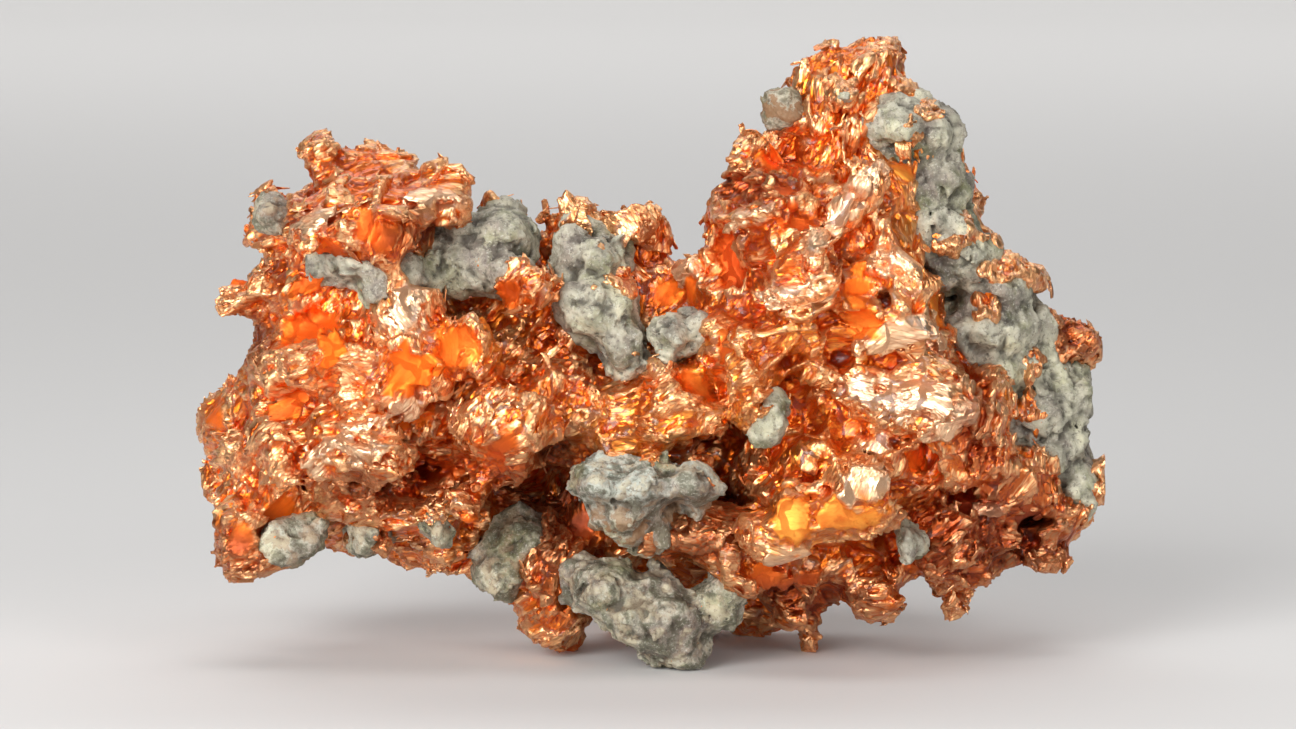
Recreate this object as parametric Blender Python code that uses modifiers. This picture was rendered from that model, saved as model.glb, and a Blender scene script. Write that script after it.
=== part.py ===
"""A native copper nugget, 40 mm wide, with pale grey calcite still held in its hollows.

The copper is one crumpled mass: a broad left lobe with a crown, a saddle, and a tall right-hand
peak. Each calcite piece sits in a pocket of the copper. Metres, +Z up, front towards -Y. The nugget
stands on its calcite foot and on copper feet that are rubbed flat, with its origin under its middle.
"""

import math

import bmesh
import bpy
from mathutils import Matrix, Vector, noise

MM = 0.001

# Driving dimensions, in millimetres.
POCKET_GAP = 0.34          # clear space between a calcite piece and the copper round it
COPPER_VOXEL = 0.36        # grid of the remesh that fuses the copper lumps
CALCITE_VOXEL = 0.22       # grid of the remesh that fuses a calcite piece
SKIN_TRIANGLES = 8000      # on the copper before the pockets are cut
COPPER_TRIANGLES = 7400    # and after
CALCITE_TRIANGLES_PER_MM2 = 2.6
FEWEST_TRIANGLES = 48      # on the smallest calcite grains
FOLD_SIZE, FOLD_HEIGHT = 4.6, 1.15         # broad folds of the copper
LEDGE_SIZE, LEDGE_HEIGHT = 2.5, 0.85       # crystal ledges and flats
RIDGE_SIZE, RIDGE_HEIGHT = 1.5, 0.45       # sharp ridges between pits
RELIEF_DROP = 0.3          # keeps the crumpled skin level with the lumps
KNOB_SIZE, KNOB_HEIGHT = 1.3, 0.28         # rounded grains of the calcite

# Each lump is an ellipsoid: centre (x, y, z), half-sizes (x, y, z), and its lean in the front view
# in degrees, clockwise. All in millimetres.

LEFT_LOBE = (
    ((-14.4, 1.5, 9.4), (4.7, 6.4, 4.2), 0),
    ((-12.4, 2.0, 13.6), (5.2, 6.4, 4.2), 0),
    ((-17.2, 0.5, 6.9), (2.1, 4.6, 2.2), -8),
    ((-16.7, 1.0, 9.2), (1.6, 4.4, 2.4), 0),
    ((-16.6, 1.0, 13.2), (1.4, 4.4, 2.4), 12),
    ((-10.6, 0.8, 7.0), (2.8, 5.0, 2.0), 6),
    ((-8.2, 1.2, 11.8), (4.4, 5.4, 3.8), 0),
    ((-6.4, -3.6, 10.6), (2.3, 2.6, 1.7), 25),
    ((-11.0, -4.6, 15.8), (1.3, 1.6, 1.7), 0),
    ((-11.0, -4.8, 17.3), (0.6, 0.8, 1.0), 0),
    ((-14.4, -4.8, 14.2), (1.6, 1.2, 1.2), -20),
    ((-8.6, -4.6, 14.2), (2.4, 1.4, 1.2), -25),
    ((-5.8, -3.2, 16.8), (1.1, 1.3, 1.5), 10),
    ((-16.2, -4.2, 9.6), (1.5, 1.6, 1.4), 0),
    ((-12.2, -5.0, 9.6), (1.8, 1.4, 0.9), 15),
    ((-12.6, -4.6, 12.0), (2.4, 1.4, 0.8), -10),
    ((-17.2, -2.8, 5.3), (1.5, 1.4, 0.9), 0),
    ((-7.6, -3.8, 7.8), (1.2, 1.6, 1.3), 0),
)

CROWN = (
    ((-13.6, 1.4, 18.7), (3.6, 4.8, 2.8), 0),
    ((-15.2, 1.2, 16.6), (2.4, 4.6, 2.6), 0),
    ((-12.4, 1.4, 20.9), (2.9, 2.8, 1.2), 10),
    ((-14.9, 0.4, 22.3), (1.0, 1.5, 0.9), 0),
    ((-11.6, 0.8, 21.5), (0.9, 1.4, 0.8), 0),
    ((-13.2, -4.2, 19.2), (2.3, 2.0, 1.1), 8),
    ((-14.4, -3.6, 20.6), (1.3, 1.6, 0.9), -20),
    ((-9.8, -2.4, 20.4), (1.9, 2.2, 0.8), 6),
    ((-8.9, -1.8, 21.4), (0.7, 1.4, 0.9), 10),
    ((-16.6, 0.2, 19.5), (1.3, 2.6, 1.8), 0),
    ((-16.9, -0.8, 16.2), (1.3, 1.4, 0.9), 0),
    ((-18.3, -1.0, 16.1), (1.6, 1.2, 0.9), -10),
)

SADDLE = (
    ((-3.6, 3.4, 14.4), (4.6, 4.6, 4.0), 0),
    ((-6.9, 2.6, 18.0), (1.7, 3.0, 1.9), 0),
    ((-6.6, 1.0, 20.3), (1.1, 1.5, 0.8), 12),
    ((-3.3, 2.0, 18.6), (1.2, 1.8, 1.2), 0),
    ((-3.2, 1.2, 19.9), (0.6, 0.9, 1.0), 8),
    ((-0.9, 2.0, 18.2), (1.1, 1.6, 1.4), 20),
    ((-0.7, 1.2, 19.2), (0.6, 0.9, 0.8), 12),
    ((1.0, 2.2, 15.0), (2.2, 3.6, 2.0), 0),
    ((2.2, 0.6, 16.8), (1.2, 2.0, 1.2), -20),
    ((-2.6, 1.0, 11.0), (4.4, 4.6, 3.0), 0),
    ((-3.8, -3.0, 12.6), (1.4, 1.3, 1.6), 25),
    ((0.8, -2.2, 11.4), (3.0, 2.6, 2.0), 0),
    ((0.2, -4.0, 12.8), (0.8, 1.0, 1.4), -20),
    ((-0.4, 4.2, 7.4), (5.0, 5.0, 4.4), 0),
)

PEAK = (
    ((8.6, 1.8, 9.4), (5.2, 7.0, 4.6), 0),
    ((8.2, 1.6, 14.4), (5.0, 6.6, 4.4), 0),
    ((8.2, 1.4, 19.2), (3.4, 5.2, 4.2), 6),
    ((8.8, 1.2, 23.2), (2.2, 3.4, 2.8), 0),
    ((9.7, 0.8, 25.4), (1.0, 1.5, 1.2), -20),
    ((10.9, 0.4, 24.8), (0.9, 1.4, 0.9), 0),
    ((7.5, 0.6, 25.5), (1.4, 1.6, 1.2), -10),
    ((6.6, 0.2, 24.5), (1.2, 1.5, 1.4), 0),
    ((4.4, 0.8, 18.4), (1.7, 4.2, 2.4), 0),
    ((4.0, 0.4, 15.0), (2.6, 5.0, 3.2), 0),
    ((5.3, 0.2, 21.6), (1.0, 1.3, 1.6), 10),
    ((4.5, 0.0, 23.0), (0.9, 1.0, 1.0), -25),
    ((6.8, -5.2, 17.6), (1.4, 1.3, 1.8), 10),
    ((8.7, -4.6, 20.8), (0.9, 1.0, 1.8), 30),
    ((10.2, -4.4, 16.2), (1.5, 1.6, 2.0), 0),
    ((11.0, -4.2, 12.4), (2.8, 2.2, 1.5), 20),
    ((9.1, -6.0, 9.2), (1.0, 1.1, 1.1), 0),
    ((7.2, -5.6, 7.0), (2.9, 1.7, 1.1), -8),
    ((4.6, -4.8, 12.6), (1.0, 1.4, 2.2), 15),
    ((6.0, -5.0, 14.8), (2.4, 1.3, 0.8), 20),
    ((5.4, -3.6, 20.0), (1.2, 1.6, 1.0), 20),
    ((12.4, 1.6, 12.2), (2.6, 4.6, 4.0), 0),
    ((11.4, 1.6, 17.6), (1.6, 4.2, 3.6), -10),
    ((11.6, 2.2, 21.4), (1.8, 3.6, 3.2), -10),
    ((10.5, -1.8, 19.6), (1.1, 2.4, 3.0), -8),
    ((12.4, -1.8, 15.2), (1.4, 2.6, 2.6), -12),
)

RIGHT_FLANK = (
    ((14.8, 3.0, 8.4), (3.2, 4.8, 3.0), 0),
    ((15.4, 3.8, 13.0), (2.0, 4.0, 3.4), -14),
    ((17.2, 2.4, 6.2), (1.6, 3.6, 1.6), 0),
    ((18.4, 1.8, 13.2), (1.1, 2.0, 1.5), 0),
    ((18.3, 1.4, 14.7), (0.8, 1.1, 0.8), 0),
    ((19.3, 1.4, 13.5), (0.8, 1.1, 0.9), 0),
    ((13.4, -0.4, 5.2), (2.6, 3.4, 1.7), 0),
    ((13.4, 0.0, 3.1), (1.1, 1.5, 1.3), 0),
    ((15.4, -1.2, 8.8), (1.0, 1.6, 1.6), 0),
    ((13.8, -2.8, 10.8), (1.4, 2.2, 2.4), 20),
    ((15.6, -0.8, 8.2), (1.4, 2.2, 2.0), 0),
    ((17.4, 0.2, 4.4), (1.5, 1.4, 0.7), 0),
)

UNDERSIDE = (
    ((6.6, 1.0, 4.6), (3.4, 4.8, 2.0), 0),
    ((6.0, 0.8, 2.6), (1.5, 2.0, 1.5), 30),
    ((7.2, 1.2, 0.9), (0.8, 1.2, 1.1), 0),
    ((10.0, -0.8, 3.6), (1.0, 2.2, 1.3), 0),
    ((-4.4, 0.8, 4.0), (1.2, 2.4, 3.0), 8),
    ((-3.9, 1.0, 1.4), (0.9, 1.4, 1.4), 0),
    ((-6.2, 2.6, 5.4), (1.8, 3.0, 2.2), 0),
    ((-6.2, 1.4, 3.6), (0.8, 1.7, 1.2), -20),
    ((-9.2, 0.2, 5.4), (1.4, 2.2, 0.9), 0),
    ((2.0, -2.8, 5.6), (2.8, 2.6, 1.0), 6),
    ((3.6, -3.2, 4.4), (1.2, 1.4, 0.9), 30),
    ((0.8, 6.8, 3.2), (2.6, 2.6, 3.2), 0),
    ((4.6, 6.2, 2.8), (2.2, 2.4, 2.8), 0),
)

BACK = (
    ((-12.0, 7.2, 12.0), (4.4, 3.2, 4.6), 0),
    ((-4.6, 8.0, 11.0), (3.8, 2.8, 3.4), 0),
    ((4.2, 8.8, 12.6), (4.4, 3.0, 4.6), 0),
    ((9.6, 6.4, 17.8), (3.2, 3.0, 4.8), 0),
    ((12.2, 7.4, 9.6), (3.4, 2.8, 3.6), 0),
    ((-15.0, 5.4, 17.4), (1.8, 2.2, 2.6), 0),
)

COPPER = LEFT_LOBE + CROWN + SADDLE + PEAK + RIGHT_FLANK + UNDERSIDE + BACK

# Hollows in the copper, in the same form: they are cut out of the fused mass.
HOLLOWS = (
    ((-12.6, -6.2, 17.3), (2.4, 3.4, 0.7), 8),
    ((-9.0, -5.0, 18.2), (1.7, 4.0, 1.3), 0),
    ((-5.6, -3.6, 7.0), (1.5, 3.6, 2.0), 0),
    ((-4.6, -5.2, 9.9), (1.1, 2.2, 0.9), 0),
    ((17.2, -0.8, 5.9), (0.8, 2.4, 0.6), 0),
    ((13.8, -4.6, 6.6), (2.0, 2.4, 1.0), 10),
    ((15.6, -2.4, 4.0), (0.9, 2.0, 0.8), 0),
    ((10.4, -6.6, 16.6), (0.7, 2.2, 0.7), 0),
    ((-13.4, -4.2, 7.4), (0.7, 2.0, 1.3), 0),
    ((-9.6, -6.0, 9.6), (1.2, 1.8, 0.7), 0),
    ((4.2, -4.6, 16.9), (0.9, 1.6, 1.1), 0),
    ((-0.2, -1.0, 17.0), (0.9, 2.2, 1.0), 0),
    ((12.2, -5.6, 15.0), (0.7, 1.6, 2.2), -12),
    ((1.4, -4.4, 9.9), (1.4, 1.4, 0.8), 0),
)

CALCITE = {
    "calcite_rind": (
        ((10.8, -1.7, 24.0), (1.3, 1.8, 1.1), 0),
        ((12.2, -0.2, 23.4), (1.5, 2.4, 1.7), 0),
        ((12.4, 0.0, 21.2), (1.6, 2.6, 1.9), 0),
        ((12.8, 0.0, 19.2), (1.7, 2.6, 1.6), 0),
        ((13.9, 0.2, 17.8), (2.0, 2.6, 1.5), 0),
        ((15.3, 0.6, 16.6), (2.0, 2.6, 1.4), 0),
        ((14.7, -0.2, 14.9), (2.1, 2.5, 1.5), 0),
        ((16.0, 0.6, 14.8), (1.6, 2.2, 1.5), 0),
        ((16.0, 0.7, 12.9), (1.8, 2.2, 1.6), 0),
        ((16.8, 0.6, 11.0), (1.9, 2.2, 1.6), 0),
        ((18.3, 1.4, 11.4), (1.4, 2.0, 1.6), 0),
        ((18.1, 1.2, 9.6), (1.5, 2.0, 1.5), 0),
        ((19.1, 1.6, 7.9), (1.1, 1.8, 1.5), -20),
    ),
    "calcite_crest": (
        ((-6.6, -0.7, 18.9), (1.5, 2.2, 1.4), 40),
        ((-7.0, -1.2, 17.6), (1.4, 2.0, 1.3), 0),
        ((-8.6, -0.9, 17.8), (1.3, 2.0, 1.6), 0),
        ((-8.4, -0.9, 19.3), (0.9, 1.6, 0.9), 0),
        ((-10.6, -2.3, 17.0), (1.5, 1.4, 0.8), 0),
    ),
    "calcite_saddle": (
        ((-3.4, -0.4, 18.2), (0.8, 1.8, 1.5), 0),
        ((-2.6, -0.5, 17.8), (1.5, 2.0, 1.5), 0),
        ((-1.8, -0.1, 18.6), (0.9, 1.6, 0.7), 0),
        ((-2.3, -1.4, 15.9), (1.7, 2.4, 1.6), 0),
        ((-1.2, -1.7, 14.2), (1.0, 1.9, 1.3), 0),
    ),
    "calcite_saddle_right": (((1.0, -2.4, 14.8), (1.2, 1.8, 1.0), 15),),
    "calcite_ledge": (
        ((-2.4, -5.2, 8.6), (1.3, 2.2, 0.9), 0),
        ((-0.3, -5.4, 8.5), (1.9, 2.2, 0.95), 0),
        ((1.8, -5.0, 8.5), (1.4, 2.2, 0.9), 0),
        ((-1.0, -4.8, 7.3), (1.7, 2.0, 1.1), 0),
        ((-0.7, -4.2, 6.4), (1.3, 1.7, 0.9), 0),
    ),
    "calcite_foot": (
        ((-2.2, -2.6, 3.6), (1.6, 2.4, 1.4), 10),
        ((0.0, -2.8, 2.5), (2.4, 2.6, 1.8), 14),
        ((1.0, -2.4, 0.9), (1.6, 2.0, 1.2), 0),
        ((2.6, -2.2, 2.8), (1.6, 2.2, 1.1), 0),
    ),
    "calcite_cavity": (
        ((-6.9, -0.4, 4.2), (1.0, 1.6, 1.4), 0),
        ((-5.9, 0.0, 5.6), (1.0, 1.4, 0.9), 0),
    ),
    "calcite_lobe_base": (((-15.8, -2.8, 5.7), (1.4, 2.0, 0.8), -12),),
    "calcite_lobe_notch": (((-12.6, -2.0, 5.5), (0.9, 1.8, 0.8), 0),),
    "calcite_lobe_corner": (((-9.3, -3.4, 6.2), (0.6, 1.3, 0.9), 0),),
    "calcite_shoulder": (((-16.8, -1.7, 20.1), (0.6, 1.1, 0.8), 0),),
    "calcite_flake": (((5.3, -5.4, 11.2), (0.7, 1.2, 1.2), 25),),
    "calcite_tip": (((5.7, -0.6, 24.8), (0.7, 0.9, 0.7), 20),),
    "calcite_peak_grain": (((8.4, -2.4, 25.4), (0.6, 1.1, 0.6), 0),),
    "calcite_hem": (((11.2, -4.0, 5.6), (0.6, 1.3, 1.0), 0),),
    "calcite_back": (
        ((-7.4, 8.2, 16.0), (2.2, 1.8, 1.5), 0),
        ((-5.2, 8.6, 14.6), (1.6, 1.8, 1.3), 0),
    ),
    "calcite_back_low": (((8.2, 8.6, 5.8), (2.2, 1.8, 1.4), 10),),
}

COPPER_FINISH = {"colour": (0.86, 0.36, 0.16, 1.0), "roughness": 0.28, "metallic": 1.0}
CALCITE_FINISH = {"colour": (0.50, 0.51, 0.46, 1.0), "roughness": 0.62, "metallic": 0.0}


def clear_scene():
    for obj in list(bpy.data.objects):
        bpy.data.objects.remove(obj)


def finish_material(name, finish):
    material = bpy.data.materials.new(name)
    material.use_nodes = True
    shader = material.node_tree.nodes["Principled BSDF"]
    shader.inputs["Base Color"].default_value = finish["colour"]
    shader.inputs["Roughness"].default_value = finish["roughness"]
    shader.inputs["Metallic"].default_value = finish["metallic"]
    return material


def evaluated_mesh(obj):
    """A plain mesh of the object as its modifiers leave it."""
    graph = bpy.context.evaluated_depsgraph_get()
    return bpy.data.meshes.new_from_object(obj.evaluated_get(graph))


def apply_modifiers(obj):
    bpy.context.view_layer.update()
    made = evaluated_mesh(obj)
    obj.modifiers.clear()
    old = obj.data
    obj.data = made
    bpy.data.meshes.remove(old)


def ellipsoids(name, lumps, collection):
    """One object of overlapping ellipsoids, each a unit icosphere that is scaled, leaned and moved."""
    mesh = bmesh.new()
    for centre, halves, lean in lumps:
        place = (
            Matrix.Translation(Vector(centre) * MM)
            @ Matrix.Rotation(math.radians(lean), 4, "Y")
            @ Matrix.Diagonal(Vector(halves) * MM).to_4x4()
        )
        bmesh.ops.create_icosphere(mesh, subdivisions=3, radius=1.0, matrix=place)
    data = bpy.data.meshes.new(name)
    mesh.to_mesh(data)
    mesh.free()
    obj = bpy.data.objects.new(name, data)
    collection.objects.link(obj)
    return obj


def fuse(obj, voxel):
    """Joins overlapping shells into one skin on a voxel grid."""
    remesh = obj.modifiers.new("fuse", "REMESH")
    remesh.mode = "VOXEL"
    remesh.voxel_size = voxel * MM
    apply_modifiers(obj)


def cut(obj, cutter, operation="DIFFERENCE"):
    boolean = obj.modifiers.new("cut", "BOOLEAN")
    boolean.operation = operation
    boolean.solver = "EXACT"
    boolean.object = cutter
    apply_modifiers(obj)


def thin_to(obj, triangles):
    """Merges the flattest faces until about this many triangles are left."""
    now = sum(len(face.vertices) - 2 for face in obj.data.polygons)
    decimate = obj.modifiers.new("thin", "DECIMATE")
    decimate.ratio = min(1.0, triangles / now)
    decimate.use_collapse_triangulate = True
    apply_modifiers(obj)


def move_along_normals(obj, height_at):
    """Pushes each vertex out by height_at(its place in millimetres), in millimetres."""
    normals = [vertex.normal.copy() for vertex in obj.data.vertices]
    for vertex, normal in zip(obj.data.vertices, normals):
        vertex.co += normal * (height_at(vertex.co / MM) * MM)
    obj.data.update()


def crystal_ledges(place, size):
    """Each Voronoi cell is a flat facet that tilts its own way: -1 to 1, with a step at its edge."""
    distances, points = noise.voronoi(place / size)
    tilt = noise.cell_vector(points[0] * 7.3)
    offset = place / size - points[0]
    return max(-1.0, min(1.0, 1.6 * tilt.dot(offset) + 0.5 * tilt.x))


def ridges(place, size):
    """Sharp crests where a smooth noise crosses zero: 1 on a crest, falling towards -1."""
    return 1.0 - 2.6 * abs(noise.noise(place / size))


def copper_relief(place):
    fold = noise.noise(place / FOLD_SIZE)
    return (
        FOLD_HEIGHT * fold
        - RELIEF_DROP
        + LEDGE_HEIGHT * crystal_ledges(place, LEDGE_SIZE)
        + RIDGE_HEIGHT * ridges(place, RIDGE_SIZE)
    )


def calcite_relief(place):
    distances, _ = noise.voronoi(place / KNOB_SIZE)
    return KNOB_HEIGHT * (0.7 - 1.6 * distances[0])


def largest_body(obj):
    """Keeps the biggest connected piece and drops the crumbs that a cut left loose."""
    mesh = bmesh.new()
    mesh.from_mesh(obj.data)
    bmesh.ops.remove_doubles(mesh, verts=mesh.verts, dist=0.00001)
    unseen = set(mesh.verts)
    bodies = []
    while unseen:
        front = [unseen.pop()]
        body = set(front)
        while front:
            for edge in front.pop().link_edges:
                for vertex in edge.verts:
                    if vertex in unseen:
                        unseen.discard(vertex)
                        body.add(vertex)
                        front.append(vertex)
        bodies.append(body)
    bodies.sort(key=len)
    loose = [vertex for body in bodies[:-1] for vertex in body]
    bmesh.ops.delete(mesh, geom=loose, context="VERTS")
    bmesh.ops.triangulate(mesh, faces=mesh.faces)
    mesh.to_mesh(obj.data)
    mesh.free()


def surface_mm2(obj):
    return sum(face.area for face in obj.data.polygons) / MM**2


def make_copper(parts, helpers):
    """The whole copper mass: lumps fused, hollowed, crumpled, and brought down to its triangles."""
    copper = ellipsoids("copper", COPPER, parts)
    fuse(copper, COPPER_VOXEL)
    hollows = ellipsoids("hollows", HOLLOWS, helpers)
    fuse(hollows, COPPER_VOXEL)
    cut(copper, hollows)
    fuse(copper, COPPER_VOXEL)
    move_along_normals(copper, copper_relief)
    fuse(copper, COPPER_VOXEL)
    thin_to(copper, SKIN_TRIANGLES)
    largest_body(copper)
    return copper


def make_calcite(name, lumps, parts):
    """One calcite piece: lumps fused and given rounded grains."""
    calcite = ellipsoids(name, lumps, parts)
    fuse(calcite, CALCITE_VOXEL)
    move_along_normals(calcite, calcite_relief)
    fuse(calcite, CALCITE_VOXEL)
    thin_to(calcite, max(FEWEST_TRIANGLES, CALCITE_TRIANGLES_PER_MM2 * surface_mm2(calcite)))
    largest_body(calcite)
    return calcite


def swollen_copy(obj, by, helpers):
    """The cutter for a pocket: the piece grown by the gap all round."""
    cutter = bpy.data.objects.new(obj.name + "_pocket", obj.data.copy())
    helpers.objects.link(cutter)
    move_along_normals(cutter, lambda place: by)
    fuse(cutter, CALCITE_VOXEL)
    thin_to(cutter, len(obj.data.polygons))
    return cutter


def table_block(helpers):
    """A block under z = 0 that rubs the feet flat."""
    mesh = bmesh.new()
    side = 80 * MM
    bmesh.ops.create_cube(mesh, size=side, matrix=Matrix.Translation((0, 0, -side / 2)))
    data = bpy.data.meshes.new("table_block")
    mesh.to_mesh(data)
    mesh.free()
    block = bpy.data.objects.new("table_block", data)
    helpers.objects.link(block)
    return block


def stand_on_origin(objects):
    """Moves the finished pieces so that the origin is under the middle of their box."""
    corners = [vertex.co for obj in objects for vertex in obj.data.vertices]
    middle = [(min(c[i] for c in corners) + max(c[i] for c in corners)) / 2 for i in (0, 1)]
    shift = Matrix.Translation((-middle[0], -middle[1], 0.0))
    for obj in objects:
        obj.data.transform(shift)
    print("moved by", [round(-m / MM, 3) for m in middle], "mm")


def new_collection(name, hidden=False):
    collection = bpy.data.collections.new(name)
    bpy.context.scene.collection.children.link(collection)
    collection.hide_render = hidden
    return collection


def main():
    clear_scene()
    parts = new_collection("native_copper_nugget")
    helpers = new_collection("cutters", hidden=True)
    copper_finish = finish_material("native_copper", COPPER_FINISH)
    calcite_finish = finish_material("grey_calcite", CALCITE_FINISH)

    block = table_block(helpers)
    copper = make_copper(parts, helpers)
    copper.data.materials.append(copper_finish)
    pieces = [copper]
    for name, lumps in CALCITE.items():
        calcite = make_calcite(name, lumps, parts)
        cut(copper, swollen_copy(calcite, POCKET_GAP, helpers))
        cut(calcite, block)
        largest_body(calcite)
        calcite.data.materials.clear()
        calcite.data.materials.append(calcite_finish)
        pieces.append(calcite)
    thin_to(copper, COPPER_TRIANGLES)
    cut(copper, block)
    largest_body(copper)
    stand_on_origin(pieces)
    for obj in helpers.objects:
        obj.hide_render = True
        obj.display_type = "WIRE"
    for obj in pieces:
        print(obj.name, len(obj.data.polygons), "triangles")


main()
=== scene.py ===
# %% [markdown]
# # A native copper nugget with grey calcite in its hollows
# Native copper grows in cracks and bubbles of rock. It fills them like torn, crumpled foil, and bits
# of the calcite that grew beside it stay trapped in its hollows. This lesson dresses a plain solid
# model of such a nugget: a crumpled metal skin, thin foils and plates, torn wires, sugary calcite,
# and finishes whose colour and gloss follow the form.

# %% Load the fixed frame
import math
import time
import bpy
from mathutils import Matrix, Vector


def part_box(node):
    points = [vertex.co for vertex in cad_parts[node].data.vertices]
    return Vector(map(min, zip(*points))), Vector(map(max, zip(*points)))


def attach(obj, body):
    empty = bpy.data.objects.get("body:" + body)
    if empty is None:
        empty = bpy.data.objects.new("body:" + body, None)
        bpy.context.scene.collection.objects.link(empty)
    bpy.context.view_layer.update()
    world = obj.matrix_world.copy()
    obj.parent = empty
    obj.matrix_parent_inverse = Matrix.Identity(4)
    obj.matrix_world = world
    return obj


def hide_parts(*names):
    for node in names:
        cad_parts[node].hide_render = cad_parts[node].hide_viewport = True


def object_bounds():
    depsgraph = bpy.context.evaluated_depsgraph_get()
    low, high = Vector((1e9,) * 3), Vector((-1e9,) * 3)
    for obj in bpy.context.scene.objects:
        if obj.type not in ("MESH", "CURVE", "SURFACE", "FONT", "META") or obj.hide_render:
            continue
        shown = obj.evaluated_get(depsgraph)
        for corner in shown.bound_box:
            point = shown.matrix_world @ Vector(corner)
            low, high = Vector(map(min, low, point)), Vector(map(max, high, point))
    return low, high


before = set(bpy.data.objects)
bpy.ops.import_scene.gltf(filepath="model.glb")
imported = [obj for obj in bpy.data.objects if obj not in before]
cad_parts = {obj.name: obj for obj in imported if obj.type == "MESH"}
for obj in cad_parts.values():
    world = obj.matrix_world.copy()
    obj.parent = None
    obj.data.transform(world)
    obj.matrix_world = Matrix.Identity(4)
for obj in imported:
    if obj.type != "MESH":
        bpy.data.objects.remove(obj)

from concurrent.futures import ThreadPoolExecutor

import bpy
import numpy as np
import openvdb
from mathutils import Vector

CAD_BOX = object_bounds()
MM = 0.001
STARTED = time.time()
CALCITE_NODES = sorted(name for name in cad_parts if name.startswith("calcite"))
print("nodes", len(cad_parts), "box", CAD_BOX)

# %% [markdown]
# ## A lattice of random numbers
# Crumpled metal looks random but must come out the same each time. A hash turns the whole-number
# address of a lattice cell into a number between 0 and 1, for any cell and in any order, so whole
# arrays of places can be asked at once and nothing has to be stored.

# %% Hash and smooth noise
def hashed(cell, salt):
    """0 to 1 for each integer cell (three arrays): the addresses are multiplied by large primes, mixed
    by exclusive-or, shifted and multiplied again."""
    value = (
        cell[0].astype(np.uint32) * np.uint32(73856093)
        ^ cell[1].astype(np.uint32) * np.uint32(19349663)
        ^ cell[2].astype(np.uint32) * np.uint32(83492791)
        ^ np.uint32((salt * 2654435761) % 2**32)
    )
    value ^= value >> np.uint32(15)
    value *= np.uint32(2246822519)
    value ^= value >> np.uint32(13)
    value *= np.uint32(3266489917)
    value ^= value >> np.uint32(16)
    return (value >> np.uint32(8)).astype(np.float32) * np.float32(2.0**-24)


def smooth_noise(place, size, salt):
    """-1 to 1: random numbers on a lattice of the given size, blended between its corners by the
    curve 3t^2 - 2t^3 on each axis. place is an array of shape (3, count), in millimetres."""
    at = place / np.float32(size)
    cell = np.floor(at).astype(np.int32)
    part = at - cell
    ease = part * part * (3 - 2 * part)
    total = np.zeros(place.shape[1], np.float32)
    for corner in range(8):
        step = [(corner >> axis) & 1 for axis in range(3)]
        weight = 1.0
        for axis in range(3):
            weight = weight * (ease[axis] if step[axis] else 1 - ease[axis])
        total += weight * hashed([cell[axis] + step[axis] for axis in range(3)], salt)
    return 2 * total - 1


def vector_noise(place, size, salt):
    """Three smooth noises stacked, one for each axis."""
    return np.stack([smooth_noise(place, size, salt + axis) for axis in range(3)])


# %% [markdown]
# ## Facets
# A torn sheet of metal is a patchwork of flats that tilt their own way. A Voronoi pattern gives the
# patches: every lattice cell owns one random point, and a place belongs to the nearest point. Inside
# its patch the height is a tilted plane, and where two patches meet there is a sharp step.

# %% Voronoi facets
def patches(place, size, salt, jitter=0.38):
    """The Voronoi patch that each place lies on: the way from the patch's own point to the place, in
    patch sizes, and the address of the lattice cell that owns the point."""
    at = place / np.float32(size)
    base = np.floor(at - 0.5).astype(np.int32)
    best = np.full(place.shape[1], 9.0, np.float32)
    offset = np.zeros_like(at)
    owner = np.zeros((3, place.shape[1]), np.int32)
    for corner in range(8):
        cell = [base[axis] + ((corner >> axis) & 1) for axis in range(3)]
        away = [
            at[axis] - (cell[axis] + np.float32(0.5) + jitter * (2 * hashed(cell, salt + axis) - 1))
            for axis in range(3)
        ]
        distance = away[0] ** 2 + away[1] ** 2 + away[2] ** 2
        nearer = distance < best
        best[nearer] = distance[nearer]
        for axis in range(3):
            offset[axis][nearer] = away[axis][nearer]
            owner[axis][nearer] = cell[axis][nearer]
    return offset, owner


def unit(vectors):
    """The same directions with length 1, for an array of shape (3, count)."""
    return vectors / (np.sqrt((vectors**2).sum(axis=0)) + np.float32(1e-6))


def facets(place, size, salt, step=0.5):
    """Tilted planes on Voronoi patches: each patch leans by a random slope and stands a random step
    up or down. Returns the height and a random tone for each patch."""
    offset, owner = patches(place, size, salt)
    lean = np.stack([2 * hashed(owner, salt + 5 + axis) - 1 for axis in range(3)])
    tone = hashed(owner, salt + 9)
    return 1.3 * (lean * offset).sum(axis=0) + step * (tone - 0.5), tone


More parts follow.
